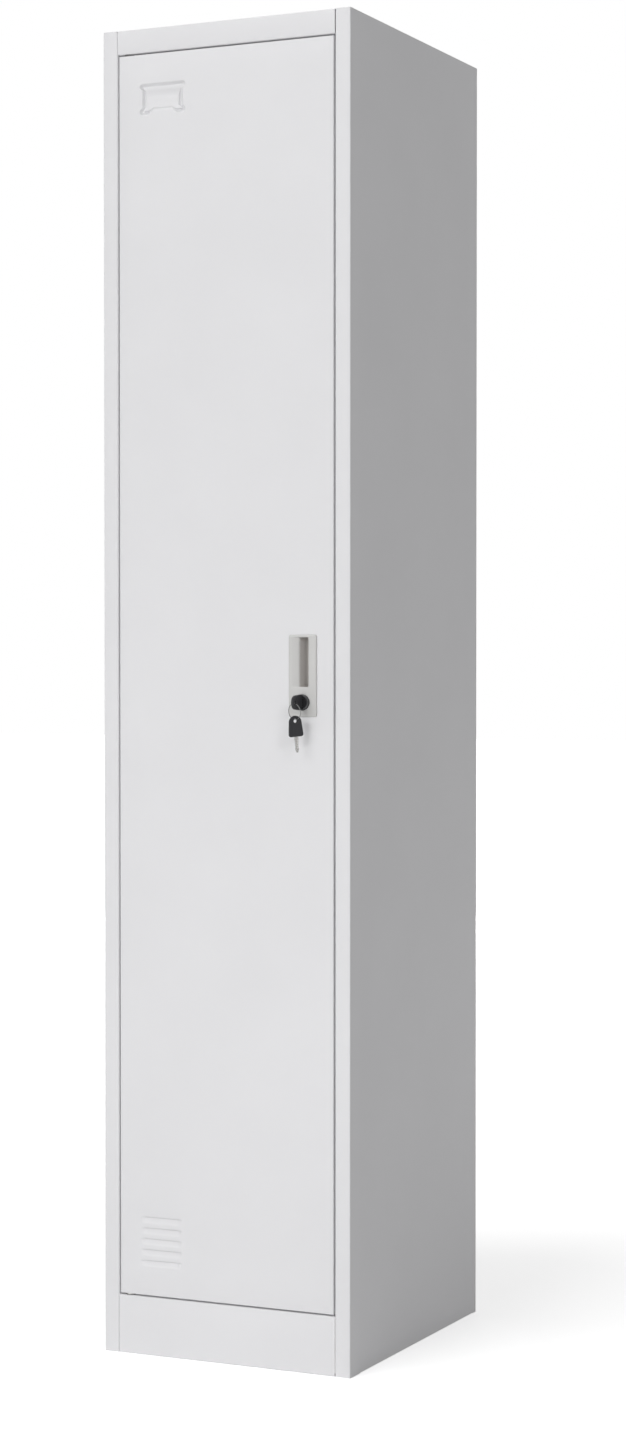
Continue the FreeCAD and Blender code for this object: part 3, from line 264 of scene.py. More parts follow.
def turned(profile, centre, axis, tube=False, steps=64):
    """Points of (radius, height) carried round an axis through centre. The profile of a tube is a closed loop;
    that of a solid runs from one end face to the other."""
    radius, along = np.asarray(profile, float).T[:, :, None]
    angle = np.linspace(0, 2 * np.pi, steps, endpoint=False)
    loops = np.stack([radius * np.cos(angle), radius * np.sin(angle), along + 0 * angle], -1)
    order = {"x": [2, 0, 1], "y": [1, 2, 0], "z": [0, 1, 2]}[axis]
    return carried(loops[..., order] + np.asarray(centre), wrap=tube)


def plated(name, colour, rough, streak):
    """Plated or drawn metal: fine streaks along one axis, made by a noise stretched along it, vary roughness and
    lift the surface; a slow second noise dulls it in patches. streak holds the noise's cycles per metre on each
    axis."""
    finish = bpy.data.materials.new(name)
    finish.use_nodes = True
    nodes, join = finish.node_tree.nodes, finish.node_tree.links.new
    shader = nodes["Principled BSDF"]
    shader.inputs["Metallic"].default_value = 1
    place = nodes.new("ShaderNodeTexCoord").outputs["Object"]
    stretch = nodes.new("ShaderNodeMapping")
    stretch.inputs["Scale"].default_value = streak
    join(place, stretch.inputs["Vector"])
    lines = nodes.new("ShaderNodeTexNoise")
    lines.inputs["Scale"].default_value = 1
    lines.inputs["Detail"].default_value = 2
    join(stretch.outputs["Vector"], lines.inputs["Vector"])
    cloud = nodes.new("ShaderNodeTexNoise")
    cloud.inputs["Scale"].default_value = 60
    join(place, cloud.inputs["Vector"])
    tone = nodes.new("ShaderNodeValToRGB")
    for stop, share in zip(tone.color_ramp.elements, (0.88, 1.0)):
        stop.color = (*(share * c for c in colour), 1)
    join(cloud.outputs["Fac"], tone.inputs["Fac"])
    join(tone.outputs["Color"], shader.inputs["Base Color"])
    gloss = nodes.new("ShaderNodeMapRange")
    gloss.inputs["To Min"].default_value, gloss.inputs["To Max"].default_value = rough
    join(lines.outputs["Fac"], gloss.inputs["Value"])
    join(gloss.outputs["Result"], shader.inputs["Roughness"])
    scratch = nodes.new("ShaderNodeBump")
    scratch.inputs["Strength"].default_value = 1
    scratch.inputs["Distance"].default_value = 0.000003
    join(lines.outputs["Fac"], scratch.inputs["Height"])
    join(scratch.outputs["Normal"], shader.inputs["Normal"])
    return finish


bright_plate = plated("bright zinc plate", (0.66, 0.65, 0.62), (0.18, 0.34), (60, 2500, 2500))
rail_wall = [
    (rail_bore, -rail_half), (rail_outer - rail_ease, -rail_half), (rail_outer, rail_ease - rail_half),
    (rail_outer, rail_half - rail_ease), (rail_outer - rail_ease, rail_half), (rail_bore, rail_half),
]
patch = turned(rail_wall, (0, rail_y, rail_z), "x", tube=True)
finished("rail_tube", [patch], "coat_rail", "carcass", bright_plate)
for name in ("rail_bracket_left", "rail_bracket_right"):
    kept(name, powder_coat)

# Hinge bushes: small flanged sleeves turned from grey nylon. They are pressed into the header and the floor, flange
# towards the door, and the door's pins turn in them.
pivot_x, pivot_y = -0.152, -0.443
bush_bore, bush_flange, bush_rim, bush_body, bush_deep = 0.00305, 0.0070, 0.0010, 0.0050, 0.0060
nylon = coated("grey nylon", [(0.20, 0.20, 0.195), (0.25, 0.25, 0.245)], (0.38, 0.5), 0.0006, 0.00001)
bush = np.array([
    (bush_bore, -bush_rim), (bush_flange - 0.0004, -bush_rim), (bush_flange - 0.0001, 0.0001 - bush_rim),
    (bush_flange, 0.0004 - bush_rim), (bush_flange, 0), (bush_body, 0), (bush_body, bush_deep - 0.0003),
    (bush_body - 0.0003, bush_deep), (bush_bore, bush_deep),
])
for name, seat, way in (("hinge_bush_top", header_z, 1), ("hinge_bush_bottom", floor_z, -1)):
    patch = turned(bush * (1, way), (pivot_x, pivot_y, seat), "z", tube=True)
    finished(name.replace("hinge", "nylon"), [patch], name, "carcass", nylon)

# Door bumpers: three small domed studs of black rubber on the strike lip. The door closes against them, which keeps
# it from ringing on the steel.
stud_x, stud_levels = 0.1622, (0.330, 0.900, 1.570)
stud_flat, stud_round, stud_skirt, stud_dome = 0.0018, 0.0012, 0.0007, 0.0010
rubber = coated("black rubber", [(0.018, 0.018, 0.018), (0.026, 0.026, 0.025)], (0.7, 0.85), 0.0005, 0.00002)
swell = np.linspace(0, 0.5 * np.pi, 7)
crown = np.stack([stud_flat + stud_round * np.cos(swell), -stud_skirt - stud_dome * np.sin(swell)], -1)
stud = np.vstack([[(stud_flat + stud_round, 0)], crown])
studs = [turned(stud, (stud_x, return_y, z), "y", steps=32) for z in stud_levels]
finished("rubber_studs", studs, "door_bumpers", "carcass", rubber)

# Door skin: one sheet drawn over its edges into returns and lips, with a name-card frame pressed in at the top
# and five louvres at the foot, each pressed in from its lower edge and slit along its top. Cut for the pull.
door_x, door_low, door_high, door_deep, door_lip = 0.165, 0.084, 1.8145, 0.020, 0.012
fold = sheet + bend
card_x, card_z, card_deep, card_middle, card_wall = -0.0967, 1.7535, 0.0044, 0.0012, 0.0048
card_half, card_tab, card_top, card_low, card_foot = 0.0323, 0.0040, 0.0205, -0.0198, 0.0044
louvre_x, louvre_half, louvre_tall, louvre_press = -0.0998, 0.033, 0.009, 0.0026
louvre_lip, louvre_lip_tall, louvre_end, louvre_bend = 0.0005, 0.0045, 0.0080, 0.06
louvre_low = 0.1245 + 0.0152 * np.arange(5)
cut_x, cut_z = (0.1001, 0.1389), (0.8976, 1.0064)


def eased(t):
    """Smooth step: nothing below 0, then 3 t^2 - 2 t^3 up to one at 1."""
    t = np.clip(t, 0, 1)
    return t * t * (3 - 2 * t)


def drawn(t, soft=0.3):
    """Drawn wall from 0 to 1: a straight slope with a parabola of the given length at each end."""
    def from_flat(u):
        u = np.maximum(u, 0)
        return np.where(u < soft, u * u / (2 * soft), u - soft / 2)
    return (from_flat(t) - from_flat(t - 1 + soft)) / (1 - soft)


def card_press(x, z):
    """Depth of the name-card frame: a drawn wall goes down from its outline into a groove, and another comes up to
    the flat middle. The top is straight, the sides step out to a tab at each end, and the lower edge steps down to
    a foot at each corner. What each edge's distance lacks of the wall's width is summed as squares, which rounds
    the outer corners. The inner wall follows the least distance, drawn out into a long slope from the top, and the
    groove grows shallow towards the lower edge."""
    u, v = abs(x - card_x), z - card_z
    side = card_half + card_tab * (eased((v - 0.0100) / 0.005) + eased((-0.0125 - v) / 0.005))
    low = card_low - card_foot * eased((u - 0.0145) / 0.008)
    short = sum(np.maximum(card_wall - edge, 0) ** 2 for edge in (side - u, card_top - v, v - low))
    least = np.minimum(np.minimum(side - u, 0.0050 + 0.15 * (0.0155 - v)), v - low + 0.001)
    above = eased((v + 0.0190) / 0.012)
    groove = (card_deep - card_middle) * (0.1 + 0.9 * np.maximum(above, eased((u - 0.0135) / 0.008)))
    groove = groove * (1 - drawn((least - 0.0050) / 0.0028))
    return drawn(1 - np.sqrt(short) / card_wall) * (card_middle * (0.5 + 0.5 * above) + groove)


def louvre_press_at(x, z, upper):
    """Depth of the louvres: from its lower edge to its slit each one goes in evenly, with a soft bend at the
    start, and its ends rise as smooth steps. The upper lip of the slit is drawn in a little, as a parabola."""
    v = (z[..., None] - louvre_low) / louvre_tall
    above = (v > 1 + 1e-6) | (upper[..., None] & (v > 1 - 1e-6))
    strip = np.where((v >= 0) & (v <= 1 + 1e-6) & ~above, v, 0)
    lip = np.where(above, np.clip(1 - (v - 1) * louvre_tall / louvre_lip_tall, 0, 1), 0)
    rise = eased((louvre_half - abs(x - louvre_x)) / louvre_end)
    slope = strip * strip / (strip + louvre_bend) * (1 + louvre_bend)
    return (louvre_press * slope.sum(-1) + louvre_lip * (lip * lip).sum(-1)) * rise


def spread(*stretches):
    """Grid lines: evenly spaced in each stretch of (start, end, count), without repeats."""
    return np.unique(np.round(np.concatenate([np.linspace(*s) for s in stretches]), 6))


def door_surface():
    """Outer face of the door as one open sheet. The flat front is a grid of columns and rows, finer at the card
    frame and louvres, pushed in by the two presses; each slit is a row laid twice, once on each lip. Round it,
    the grid's edge points step outwards and back along the section of fold, return, fold and lip."""
    left, right, low, high = -door_x + fold, door_x - fold, door_low + fold, door_high - fold
    columns = spread((left, left, 1), (-0.1335, -0.121, 36), (-0.121, -0.0725, 34), (-0.0725, -0.060, 36),
                     (*cut_x, 2), (right, right, 1))
    rows = spread((low, low, 1), (0.1210, 0.1970, 153), (0.26, 0.84, 9), (*cut_z, 2), (1.06, 1.68, 9),
                  (1.7280, 1.7450, 49), (1.7450, 1.7605, 11), (1.7605, 1.7745, 41), (high, high, 1))
    slits = np.round(louvre_low + louvre_tall, 6)
    rows = np.sort(np.concatenate([rows, slits, slits[~np.isin(slits, rows)]]))
    upper = np.append(False, np.diff(rows) < 1e-7)
    x, z = np.meshgrid(columns, rows)
    deep = card_press(x, z) + louvre_press_at(x, z, np.broadcast_to(upper[:, None], x.shape))
    points = np.stack([x, front + deep, z], -1)
    index = np.arange(x.size).reshape(x.shape)
    quads = np.stack([index[:-1, :-1], index[:-1, 1:], index[1:, 1:], index[1:, :-1]], -1)
    centre = points.reshape(-1, 3)[quads].mean(2)
    cut = (centre[..., 0] > cut_x[0]) & (centre[..., 0] < cut_x[1])
    cut &= (centre[..., 2] > cut_z[0]) & (centre[..., 2] < cut_z[1])
    quads = quads[~cut & ~upper[1:, None]]

    quarter = np.linspace(0, 0.5 * np.pi, 6)
    out = np.concatenate([fold * (1 - np.sin(quarter)), fold * (1 - np.cos(quarter)), [door_lip]])
    back = np.concatenate([fold * (1 - np.cos(quarter)), door_deep - fold * (1 - np.sin(quarter)), [door_deep]])
    single = index[~upper]
    rim = np.concatenate([single[0], single[1:, -1], single[-1, -2::-1], single[-2:0:-1, 0]])
    edge = points.reshape(-1, 3)[rim]
    shift = np.stack([np.sign(edge[:, 0]) * (abs(edge[:, 0]) > door_x - 2 * fold), 0 * rim,
                      1.0 * (edge[:, 2] > door_high - 2 * fold) - 1.0 * (edge[:, 2] < door_low + 2 * fold)], -1)
    loops = edge + shift * (fold - out)[:, None, None] + np.array([0, 1, 0]) * back[:, None, None]
    ring = index.size + np.arange(loops.shape[0] * len(rim)).reshape(loops.shape[:2])
    a, b = ring[:-1], ring[1:]
    strip = np.stack([np.roll(a, -1, 1), a, b, np.roll(b, -1, 1)], -1).reshape(-1, 4)

    points = np.concatenate([points.reshape(-1, 3), loops.reshape(-1, 3)])
    points, same = np.unique(np.round(points, 7), axis=0, return_inverse=True)
    faces = same.reshape(-1)[np.concatenate([quads, strip])]
    return points, faces[(np.diff(np.sort(faces, 1), axis=1) > 0).all(1)]


points, faces = door_surface()
mesh = bpy.data.meshes.new("door face")
mesh.from_pydata(points.tolist(), [], faces.tolist())
mesh.update()
face = bpy.data.objects.new("door face", mesh)
bpy.context.collection.objects.link(face)
gauge = face.modifiers.new("sheet", "SOLIDIFY")
gauge.thickness = sheet
gauge.offset = -1
gauge.use_even_offset = True
mesh = bpy.data.meshes.new_from_object(face.evaluated_get(bpy.context.evaluated_depsgraph_get()))
bpy.data.objects.remove(face)
mesh.name = "door_skin"
mesh.polygons.foreach_set("use_smooth", np.ones(len(mesh.polygons), bool))
mesh.set_sharp_from_angle(angle=math.radians(40))
mesh.materials.clear()
mesh.materials.append(powder_coat)
door_skin = bpy.data.objects.new("door_skin", mesh)
bpy.context.collection.objects.link(door_skin)
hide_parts("door_panel")
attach(door_skin, "door")

# Door stiffener: a top-hat channel folded from the same sheet and painted with the door. Its two brims are
# spot-welded to the skin, up the middle of the inside.
hat_half, brim_half, hat_deep, hat_low, hat_high = 0.025, 0.037, 0.014, 0.109, 1.7895
skin_y = front + sheet
crown_y = skin_y + hat_deep - sheet
hat = [(-brim_half, skin_y), (-hat_half, skin_y), (-hat_half, crown_y), (hat_half, crown_y), (hat_half, skin_y),
       (brim_half, skin_y)]
patch = folded_sheet(hat, 1, "xy", hat_low, hat_high)
finished("door_channel", [patch], "door_stiffener", "door", powder_coat)

# Hinge pins: plated steel. The upper one is pushed up through a welded, painted guide and held by a spring clip;
# the lower one is riveted into the door's return and carries the door on its collar.
guide_top = door_high - sheet - 0.025
pin, pin_nose, pin_groove, pin_head = 0.0030, 0.0022, 0.0023, 0.0045
collar, shank, rivet = 0.0060, 0.0035, 0.0050
pin_top = [
    (0.0038, guide_top - 0.0110), (pin_head, guide_top - 0.0105), (pin_head, guide_top - 0.0090),
    (pin, guide_top - 0.0090), (pin, guide_top), (pin_groove, guide_top), (pin_groove, guide_top + 0.0008),
    (pin, guide_top + 0.0008), (pin, header_z + 0.0082), (pin_nose, header_z + 0.0090),
]
pin_bottom = [
    (pin_nose, floor_z - 0.0090), (pin, floor_z - 0.0082), (pin, floor_z + 0.0010), (0.0057, floor_z + 0.0010),
    (collar, floor_z + 0.0012), (collar, door_low), (shank, door_low), (shank, door_low + sheet),
    (rivet, door_low + sheet), (0.0047, door_low + 0.0019), (0.0035, door_low + 0.0030),
]
pin_plate = plated("pin plate", (0.62, 0.61, 0.58), (0.24, 0.42), (1800, 1800, 900))
for name, profile in (("hinge_pin_top", pin_top), ("hinge_pin_bottom", pin_bottom)):
    patch = turned(profile, (pivot_x, pivot_y, 0), "z", steps=40)
    finished(name.replace("hinge", "plated"), [patch], name, "door", pin_plate)
for name, finish in (("hinge_guide_top", powder_coat), ("hinge_clip_top", pin_plate)):
    kept(name, finish)

# Pull: a moulded housing snapped into the door, its plate sprayed silver-grey; deep in its pocket the colour
# turns darker and warmer as painted shade. The plate covers the cut-out, the finger pocket goes down a shallow
# ramp and a slope to room behind the right rim, and the bay below holds the lock.
pull_left, pull_right, pull_low, pull_high = 0.0985, 0.1405, 0.896, 1.008
plate_y = front - 0.0025
pocket_low, pocket_high = 0.9369, 1.0044
ramp_x, ramp_run, ramp_deep, slope_run, slope_deep, ramp_soft = 0.1041, 0.0093, 0.0029, 0.0066, 0.0136, 0.0022
mouth_x, room_x, plate_round, mouth_round, floor_round = 0.1287, 0.1340, 0.0018, 0.0007, 0.003
pocket_corner, plate_corner, bay_inset, bay_corner = 0.0022, 0.003, 0.0036, 0.0012
pull_rear = front + 0.016


def rounded_loop(x0, x1, z0, z1, radius, y, steps=8):
    """Rectangle with quarter-circle corners in a plane of constant y: each corner's centre plus the radius turned
    evenly through a right angle."""
    turn = np.linspace(0, 0.5 * np.pi, steps + 1)
    turns = (turn + 0.5 * np.pi * np.arange(4)[:, None]).reshape(-1)
    x = np.repeat([x1 - radius, x0 + radius, x0 + radius, x1 - radius], steps + 1) + radius * np.cos(turns)
    z = np.repeat([z1 - radius, z1 - radius, z0 + radius, z0 + radius], steps + 1) + radius * np.sin(turns)
    return np.stack([x, np.full_like(x, y), z], -1)


def pull_loops():
    """Loops from the pocket's floor out through its mouth, over the plate and round its edge, back along the body
    to the rear and into the lock bay. The pocket's left side follows the soft minimum of two lines, ramp and
    slope; its right side goes in under the rim. Rounded edges are quarter turns of loops."""
    quarter = np.linspace(0, 0.5 * np.pi, 6)
    loops = []

    def pocket(y, right, ease):
        ramp = ramp_x + (y - plate_y) * ramp_run / ramp_deep
        slope = ramp_x + ramp_run + (y - plate_y - ramp_deep) * slope_run / slope_deep
        left = 0.5 * (ramp + slope - np.hypot(ramp - slope, ramp_soft))
        loops.append(rounded_loop(left - ease, right + ease, pocket_low - ease, pocket_high + ease,
                                  pocket_corner + ease, y))

    for t in quarter:
        grow, rise = floor_round * np.sin(t), floor_round * (1 - np.cos(t))
        loops.append(rounded_loop(0.1220 - 0.002 * np.sin(t) - 0.5 * rise, 0.131 + grow, pocket_low, pocket_high,
                                  pocket_corner, front + 0.014 - rise))
    for y, right in ((0.0090, room_x), (0.0060, room_x), (0.0035, room_x), (0.0020, 0.1316), (0.0010, 0.1297),
                     (0.0005, 0.1289), (0.0001, mouth_x), (-0.0004, mouth_x), (-0.0010, mouth_x)):
        pocket(front + y, right, 0)
    for t in quarter:
        pocket(plate_y + mouth_round * (1 - np.sin(t)), mouth_x, mouth_round * (1 - np.cos(t)))
    for t in quarter:
        inset = plate_round * (1 - np.sin(t))
        loops.append(rounded_loop(pull_left + inset, pull_right - inset, pull_low + inset, pull_high - inset,
                                  plate_corner - 0.5 * inset, plate_y + plate_round * (1 - np.cos(t))))
    loops.append(rounded_loop(pull_left, pull_right, pull_low, pull_high, plate_corner, front))
    for inset, y in ((0.002, front), (0.002, pull_rear - 0.0004), (0.0024, pull_rear)):
        loops.append(rounded_loop(pull_left + inset, pull_right - inset, pull_low + inset, pull_high - inset,
                                  0.0025, y))
    for y in (pull_rear, front + 0.0015):
        loops.append(rounded_loop(pull_left + bay_inset, pull_right - bay_inset, pull_low + bay_inset,
                                  pocket_low - 0.0016, bay_corner, y))
    return loops


def barb(hand, level):
    """Snap barb: a wedge on the body's side, square behind the door's sheet and sloped towards the rear."""
    edge, catch = (pull_left + 0.002, pull_right - 0.002)[hand > 0], front + 0.0011
    wedge = np.array([(edge - hand * 0.0004, catch), (edge + hand * 0.0012, catch), (edge, catch + 0.005),
                      (edge - hand * 0.0004, catch + 0.005)])
    return carried([np.insert(wedge, 2, z, axis=1) for z in (level - 0.007, level + 0.007)])


def painted_pocket_shade(finish, shade_tone, start, end):
    """Painted shade: from depth start to depth end behind the front, a finish turns into the darker, warmer shade
    tone, which stands in for the shade deep in a pocket. Of the mixing node, inputs 0, 6 and 7 are share and
    colours, output 2 the colour."""
    nodes, join = finish.node_tree.nodes, finish.node_tree.links.new
    colour = nodes["Principled BSDF"].inputs["Base Color"]
    depth, reach, mixed = (nodes.new("ShaderNode" + kind) for kind in ("SeparateXYZ", "MapRange", "Mix"))
    mixed.data_type = "RGBA"
    join(nodes["Texture Coordinate"].outputs["Object"], depth.inputs["Vector"])
    join(depth.outputs["Y"], reach.inputs["Value"])
    reach.inputs["From Min"].default_value, reach.inputs["From Max"].default_value = start, end
    join(reach.outputs["Result"], mixed.inputs[0])
    join(colour.links[0].from_socket, mixed.inputs[6])
    mixed.inputs[7].default_value = (*shade_tone, 1)
    join(mixed.outputs[2], colour)


pull_plastic = coated("silver-grey plastic", [(0.558, 0.554, 0.544), (0.588, 0.584, 0.574)], (0.34, 0.46), 0.0005,
                      0.000012)
# Painted shade: from 2.5 mm behind the plate the colour turns darker and warmer, fully so at 5.5 mm.
painted_pocket_shade(pull_plastic, (0.510, 0.487, 0.468), plate_y + 0.0025, plate_y + 0.0055)
lock_x, lock_z = 0.1195, 0.916
barbs = [barb(hand, level) for hand in (-1, 1) for level in (lock_z, 0.5 * (pocket_low + pocket_high))]
finished("pull_housing", [carried(pull_loops())] + barbs, "handle_housing", "door", pull_plastic)

# Cam lock: a black coated zinc barrel with a domed bezel, clamped in the pull by a plated nut. Its plug turns the
# cam, which a slotted screw holds on.
lock_black = coated("black lock coat", [(0.016, 0.016, 0.018), (0.024, 0.024, 0.026)], (0.26, 0.4), 0.0004, 0.00001)
bezel_y, barrel_end = front - 0.006, front + 0.0215
bezel_flat, bezel_round, barrel_bore, barrel_outer = 0.0092, 0.0018, 0.00605, 0.0090
dome = np.linspace(0, 0.5 * np.pi, 9)
bezel = np.stack([bezel_flat + bezel_round * np.sin(dome), bezel_y + bezel_round * (1 - np.cos(dome))], -1)
barrel = np.vstack([
    [(barrel_bore, barrel_end), (barrel_bore, bezel_y + 0.0006), (0.0064, bezel_y + 0.0001), (0.0068, bezel_y)],
    bezel,
    [(bezel_flat + bezel_round, plate_y), (barrel_outer, plate_y), (barrel_outer, barrel_end)],
])
finished("lock_bezel_and_barrel", [turned(barrel, (lock_x, 0, lock_z), "y", tube=True, steps=96)], "lock_barrel",
         "door", lock_black)
cam_plate = plated("cam plate", (0.60, 0.58, 0.52), (0.28, 0.48), (900, 900, 120))
for name, finish in (("lock_plug", lock_black), ("lock_nut", cam_plate), ("lock_cam", cam_plate),
                     ("cam_screw", cam_plate)):
    kept(name, finish)

# Keys: nickel-plated blades with black plastic heads moulded on. One is in the lock, the other hangs from it on
# a split ring of spring wire.
key_plastic = coated("black key plastic", [(0.020, 0.020, 0.023), (0.028, 0.028, 0.032)], (0.36, 0.5), 0.0004, 0.00002)
key_plastic.node_tree.nodes["Principled BSDF"].inputs["Specular IOR Level"].default_value = 0.3
key_shoulder_y, key_hole_y, blade_long = -0.4564, -0.0215, 0.0215
nickel = plated("nickel plate", (0.36, 0.355, 0.345), (0.2, 0.34), (500, 500, 2200))
spring_wire = plated("spring wire", (0.20, 0.20, 0.195), (0.24, 0.38), (700, 700, 700))


def key_head():
    """Key head as a closed ring surface about its hole. The outline goes round a shoulder with two rounded
    corners, up sides that close in slightly, and over a half-circle arch. Stations run along the lines from the
    hole's axis to the outline: over a boss, down to a sunk panel, up to a rim and round the edge to the other
    face. x is the thickness, y runs from the shoulder to the arch at -y, z goes across."""
    hole, half, arch, spring, corner = 0.00275, 0.011, 0.0095, -0.019, 0.003
    lean = math.atan((half - arch) / -spring)
    corner_z = half - corner * (1 + math.sin(lean)) / math.cos(lean)
    turn = np.linspace(0, 0.5 * np.pi + lean, 10)
    eased_corner = np.stack([corner * (np.cos(turn) - 1), corner_z + corner * np.sin(turn)], -1)
    over = np.linspace(0.5 * np.pi, np.pi, 19)
    cap = np.stack([spring + arch * np.cos(over), arch * np.sin(over)], -1)
    along = np.linspace(0, 1, 13)[1:-1, None]
    shoulder = np.stack([np.zeros(4), corner_z * np.linspace(0, 0.75, 4)], -1)
    flank = eased_corner[-1] + (cap[0] - eased_corner[-1]) * along
    upper = np.vstack([shoulder, eased_corner, flank, cap])
    edge = np.vstack([upper, (upper[1:-1] * (1, -1))[::-1]]) - (key_hole_y, 0)
    outline = np.hypot(*edge.T)
    c, s = (edge / outline[:, None]).T
    web = outline - hole
    sunk = 0.0004 * eased((web - 0.0045) / 0.0025)
    boss, rim = np.minimum(0.0019, 0.40 * web), np.minimum(0.0026, 0.40 * web)
    thick, flat = 0.0016, 0 * outline
    stations = [
        (hole + flat, thick - 0.0005 + flat),
        (hole + 0.00012 + flat, thick - 0.0002 + flat),
        (hole + 0.0004 + flat, thick + flat),
        (hole + 0.8 * boss, thick + flat),
        (hole + boss, thick - sunk),
        (outline - rim, thick - sunk),
        (outline - 0.86 * rim, thick + flat),
        (outline - 0.0006, thick + flat),
        (outline - 0.00018, thick - 0.00018 + flat),
        (outline, thick - 0.0006 + flat),
    ]
    reach, lift = (np.array(values) for values in zip(*stations))
    reach, lift = np.concatenate([reach, reach[::-1]]), np.concatenate([lift, -lift[::-1]])
    return np.stack([lift, key_hole_y + reach * c, reach * s], -1)


key_hole = np.array([lock_x, key_shoulder_y + key_hole_y, lock_z])
spare_hole = np.array([lock_x, -0.475297, 0.891236])


def turned_by(points, axis, degrees):
    """Points turned about one of the main axes through the origin."""
    c, s = math.cos(math.radians(degrees)), math.sin(math.radians(degrees))
    rows = {"x": [(1, 0, 0), (0, c, -s), (0, s, c)], "z": [(c, -s, 0), (s, c, 0), (0, 0, 1)]}[axis]
    return points @ np.array(rows).T


def in_lock(points):
    """Points of a key, moved so that its shoulder stands just in front of the lock."""
    return points + np.array([lock_x, key_shoulder_y, lock_z])


def on_ring(points):
    """Points of a key, turned about its hole to hang down with a slight lean, and moved to where the ring holds it."""
    return turned_by(turned_by(points - np.array([0, key_hole_y, 0]), "x", -85), "z", -35) + spare_hole


head = key_head()
finished("key_head_in_lock", [carried(in_lock(head), wrap=True)], "key_bow", "key", key_plastic)
finished("key_head_hanging", [carried(on_ring(head), wrap=True)], "spare_key_bow", "spare_key",
         key_plastic)


def key_cut():
    """Key blade as sections carried from inside the head to the tip. Each section has two flat faces with a milled
    groove and small bevels at its edges. The width is cut on both sides by five bits, each a raised cosine, and
    closes in along a straight line to a blunt tip."""
    half_wide, half_thick, tip, bits_from, bits_long, bit_deep = 0.0026, 0.0010, 0.0008, 0.0045, 0.0115, 0.00035
    along = np.concatenate([[-0.0004], np.linspace(0, blade_long, 130)])
    bit = np.clip((along - bits_from) / bits_long, 0, 1)
    half = np.minimum(half_wide - bit_deep * (1 - np.cos(10 * np.pi * bit)), tip + 0.42 * (blade_long - along))
    across = np.array([-1, -0.80, -0.20, -0.05, 0.35, 0.50, 0.80, 1])
    lift = np.array([0.70, 1, 1, 0.60, 0.60, 1, 1, 0.70]) * half_thick
    z = np.concatenate([across, across[::-1]]) * half[:, None]
    x = np.concatenate([lift, -lift[::-1]]) + 0 * z
    return np.stack([x, along[:, None] + 0 * z, z], -1)


cut = key_cut()
finished("key_cut_in_lock", [carried(in_lock(cut))], "key_blade", "key", nickel)
finished("key_cut_hanging", [carried(on_ring(cut))], "spare_key_blade", "spare_key", nickel)


def split_ring():
    """Two close turns of round wire: the path goes twice round a circle while it moves across by one wire, and a
    small circle in the plane of the radius and the ring's axis is carried along it. The ring is turned about the
    vertical and leans towards the door about the key's hole."""
    ring_radius, wire_radius, hang, across = 0.011, 0.00034, 0.01245, 0.00032
    around = np.linspace(0, 4 * np.pi, 193)[:, None]
    radial = np.column_stack([np.cos(around), 0 * around, np.sin(around)])
    shift = across * np.clip(3 * (around / (4 * np.pi) - 0.5), -1, 1)
    axis = np.array([0, 1, 0])
    path = np.array([0, 0, -hang]) + ring_radius * radial + axis * shift
    section = np.linspace(0, 2 * np.pi, 10, endpoint=False)[:, None]
    wire = path[:, None] + wire_radius * (radial[:, None] * np.cos(section) + axis * np.sin(section))
    return turned_by(turned_by(wire, "z", -18), "x", 6) + key_hole


finished("split_ring", [carried(split_ring())], "key_ring", "ring", spring_wire, crease=50)

# Stage: a wide white floor. For camera and glossy rays it glows as painted light, weakly near the locker and more
# and more away from it, so that it has no visible horizon; the weaker glow round the locker is painted shade that
# deepens its real contact shadow.
floor_mesh = bpy.data.meshes.new("floor")
reach = 30
floor_mesh.from_pydata([(-reach, -reach, 0), (reach, -reach, 0), (reach, reach, 0), (-reach, reach, 0)], [],
                       [(0, 1, 2, 3)])
floor = bpy.data.objects.new("floor", floor_mesh)
bpy.context.collection.objects.link(floor)
pale = bpy.data.materials.new("pale floor")
pale.use_nodes = True
nodes, join = pale.node_tree.nodes, pale.node_tree.links.new
nodes.clear()
matt, glow = nodes.new("ShaderNodeBsdfDiffuse"), nodes.new("ShaderNodeEmission")
matt.inputs["Color"].default_value = (0.8, 0.8, 0.8, 1)
away = nodes.new("ShaderNodeVectorMath")
away.operation = "LENGTH"
join(nodes.new("ShaderNodeTexCoord").outputs["Object"], away.inputs[0])
# Painted light and shade: the glow grows from 0.558 at 0.2 m to 1.0 at 2.3 m from the origin; its low end near the
# locker is painted shade.
lift = nodes.new("ShaderNodeMapRange")
lift.inputs["From Min"].default_value, lift.inputs["From Max"].default_value = 0.2, 2.3
lift.inputs["To Min"].default_value, lift.inputs["To Max"].default_value = 0.558, 1.0
join(away.outputs["Value"], lift.inputs["Value"])
rays = nodes.new("ShaderNodeLightPath")
seen, shown = nodes.new("ShaderNodeMath"), nodes.new("ShaderNodeMath")
seen.operation, shown.operation = "MAXIMUM", "MULTIPLY"
join(rays.outputs["Is Camera Ray"], seen.inputs[0])
join(rays.outputs["Is Glossy Ray"], seen.inputs[1])
join(seen.outputs["Value"], shown.inputs[0])
join(lift.outputs["Result"], shown.inputs[1])
join(shown.outputs["Value"], glow.inputs["Strength"])
lifted, out = nodes.new("ShaderNodeAddShader"), nodes.new("ShaderNodeOutputMaterial")
join(matt.outputs["BSDF"], lifted.inputs[0])
join(glow.outputs["Emission"], lifted.inputs[1])
join(lifted.outputs["Shader"], out.inputs["Surface"])
floor_mesh.materials.append(pale)

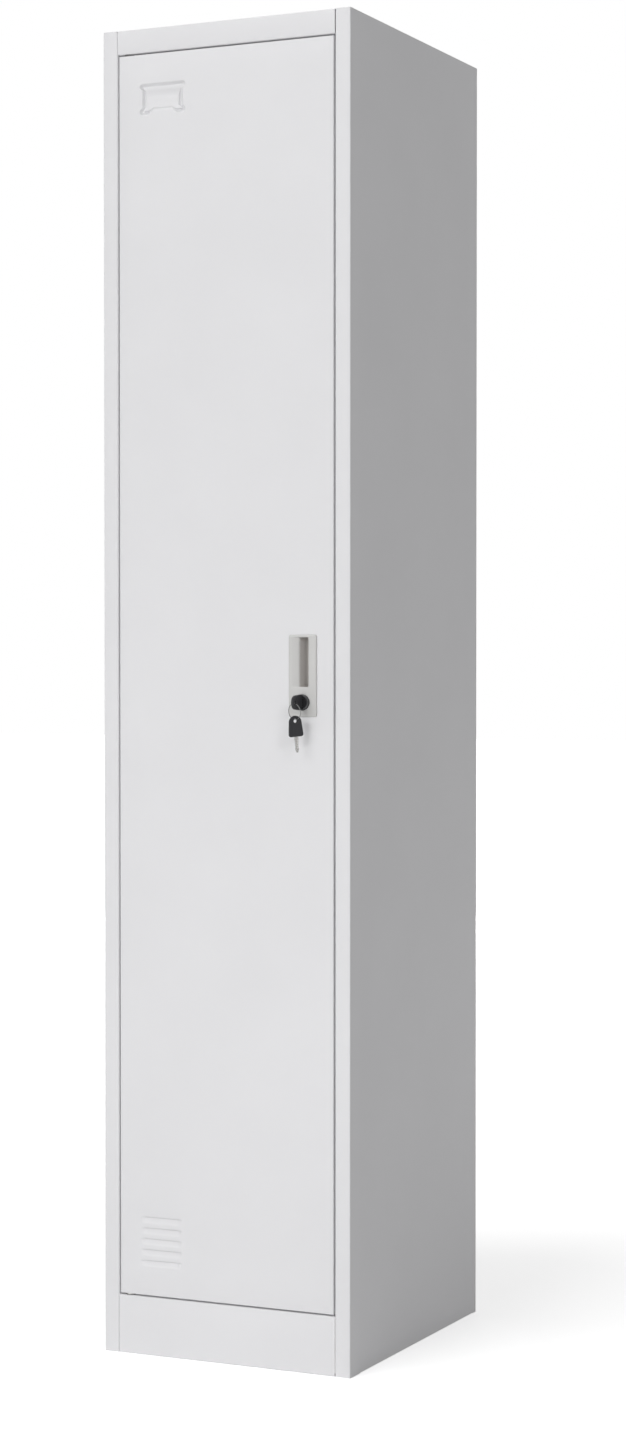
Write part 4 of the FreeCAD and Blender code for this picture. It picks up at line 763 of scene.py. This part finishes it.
# Light: a surround that shows white and lights at a fifth of that, a large soft panel high in front on the left, a
# smaller one on the right, one for the back, a small one low in front for the plinth, and one overhead. The right
# side stays in shade. Each panel has its place, tilt and turn in degrees, size and watts.
world = bpy.data.worlds.new("surround")
world.use_nodes = True
nodes, join = world.node_tree.nodes, world.node_tree.links.new
rays = nodes.new("ShaderNodeLightPath")
seen, clear, level = (nodes.new("ShaderNode" + kind) for kind in ("Math", "Math", "MapRange"))
seen.operation = clear.operation = "MAXIMUM"
join(rays.outputs["Is Camera Ray"], seen.inputs[0])
join(rays.outputs["Is Glossy Ray"], seen.inputs[1])
join(seen.outputs["Value"], clear.inputs[0])
join(rays.outputs["Is Transmission Ray"], clear.inputs[1])
level.inputs["To Min"].default_value, level.inputs["To Max"].default_value = 0.212, 1.0
join(clear.outputs["Value"], level.inputs["Value"])
nodes["Background"].inputs["Color"].default_value = (1, 1, 1, 1)
join(level.outputs["Result"], nodes["Background"].inputs["Strength"])
bpy.context.scene.world = world
panels = (
    ("front panel", (-2.4, -8.4, 4.2), 22, 16, (6.0, 2.6), 321),
    ("right panel", (4.3, -4.6, 3.3), 21, -45, (1.5, 1.2), 60),
    ("back panel", (-2.2, 6.5, 1.2), 2, 161, (3.0, 2.0), 130),
    ("low panel", (-0.1, -2.3, 0.15), 0, 0, (0.6, 0.3), 5.5),
    ("top panel", (-0.15, -0.75, 4.2), 90, 0, (0.6, 0.5), 24),
)
for name, place, tilt, turn, size, watts in panels:
    lamp = bpy.data.lights.new(name, "AREA")
    lamp.shape = "RECTANGLE"
    lamp.size, lamp.size_y = size
    lamp.energy = watts
    panel = bpy.data.objects.new(name, lamp)
    panel.location = place
    panel.rotation_euler = (math.radians(90 - tilt), 0, -math.radians(turn))
    bpy.context.collection.objects.link(panel)

# Camera: stands at the right of the front, just above mid-height, and looks slightly down. Place and lens are fitted
# to the corners of the carcass, with no shift and no depth of field.
azimuth, elevation = math.radians(25.36), math.radians(1.172)
lens = bpy.data.cameras.new("camera")
lens.lens = 72.32
lens.clip_end = 200
camera = bpy.data.objects.new("camera", lens)
camera.location = (1.81977, -4.00575, 0.96992)
camera.rotation_euler = (math.radians(90) - elevation, 0, azimuth)
bpy.context.collection.objects.link(camera)
bpy.context.scene.camera = camera
bpy.context.scene.view_settings.view_transform = "Standard"
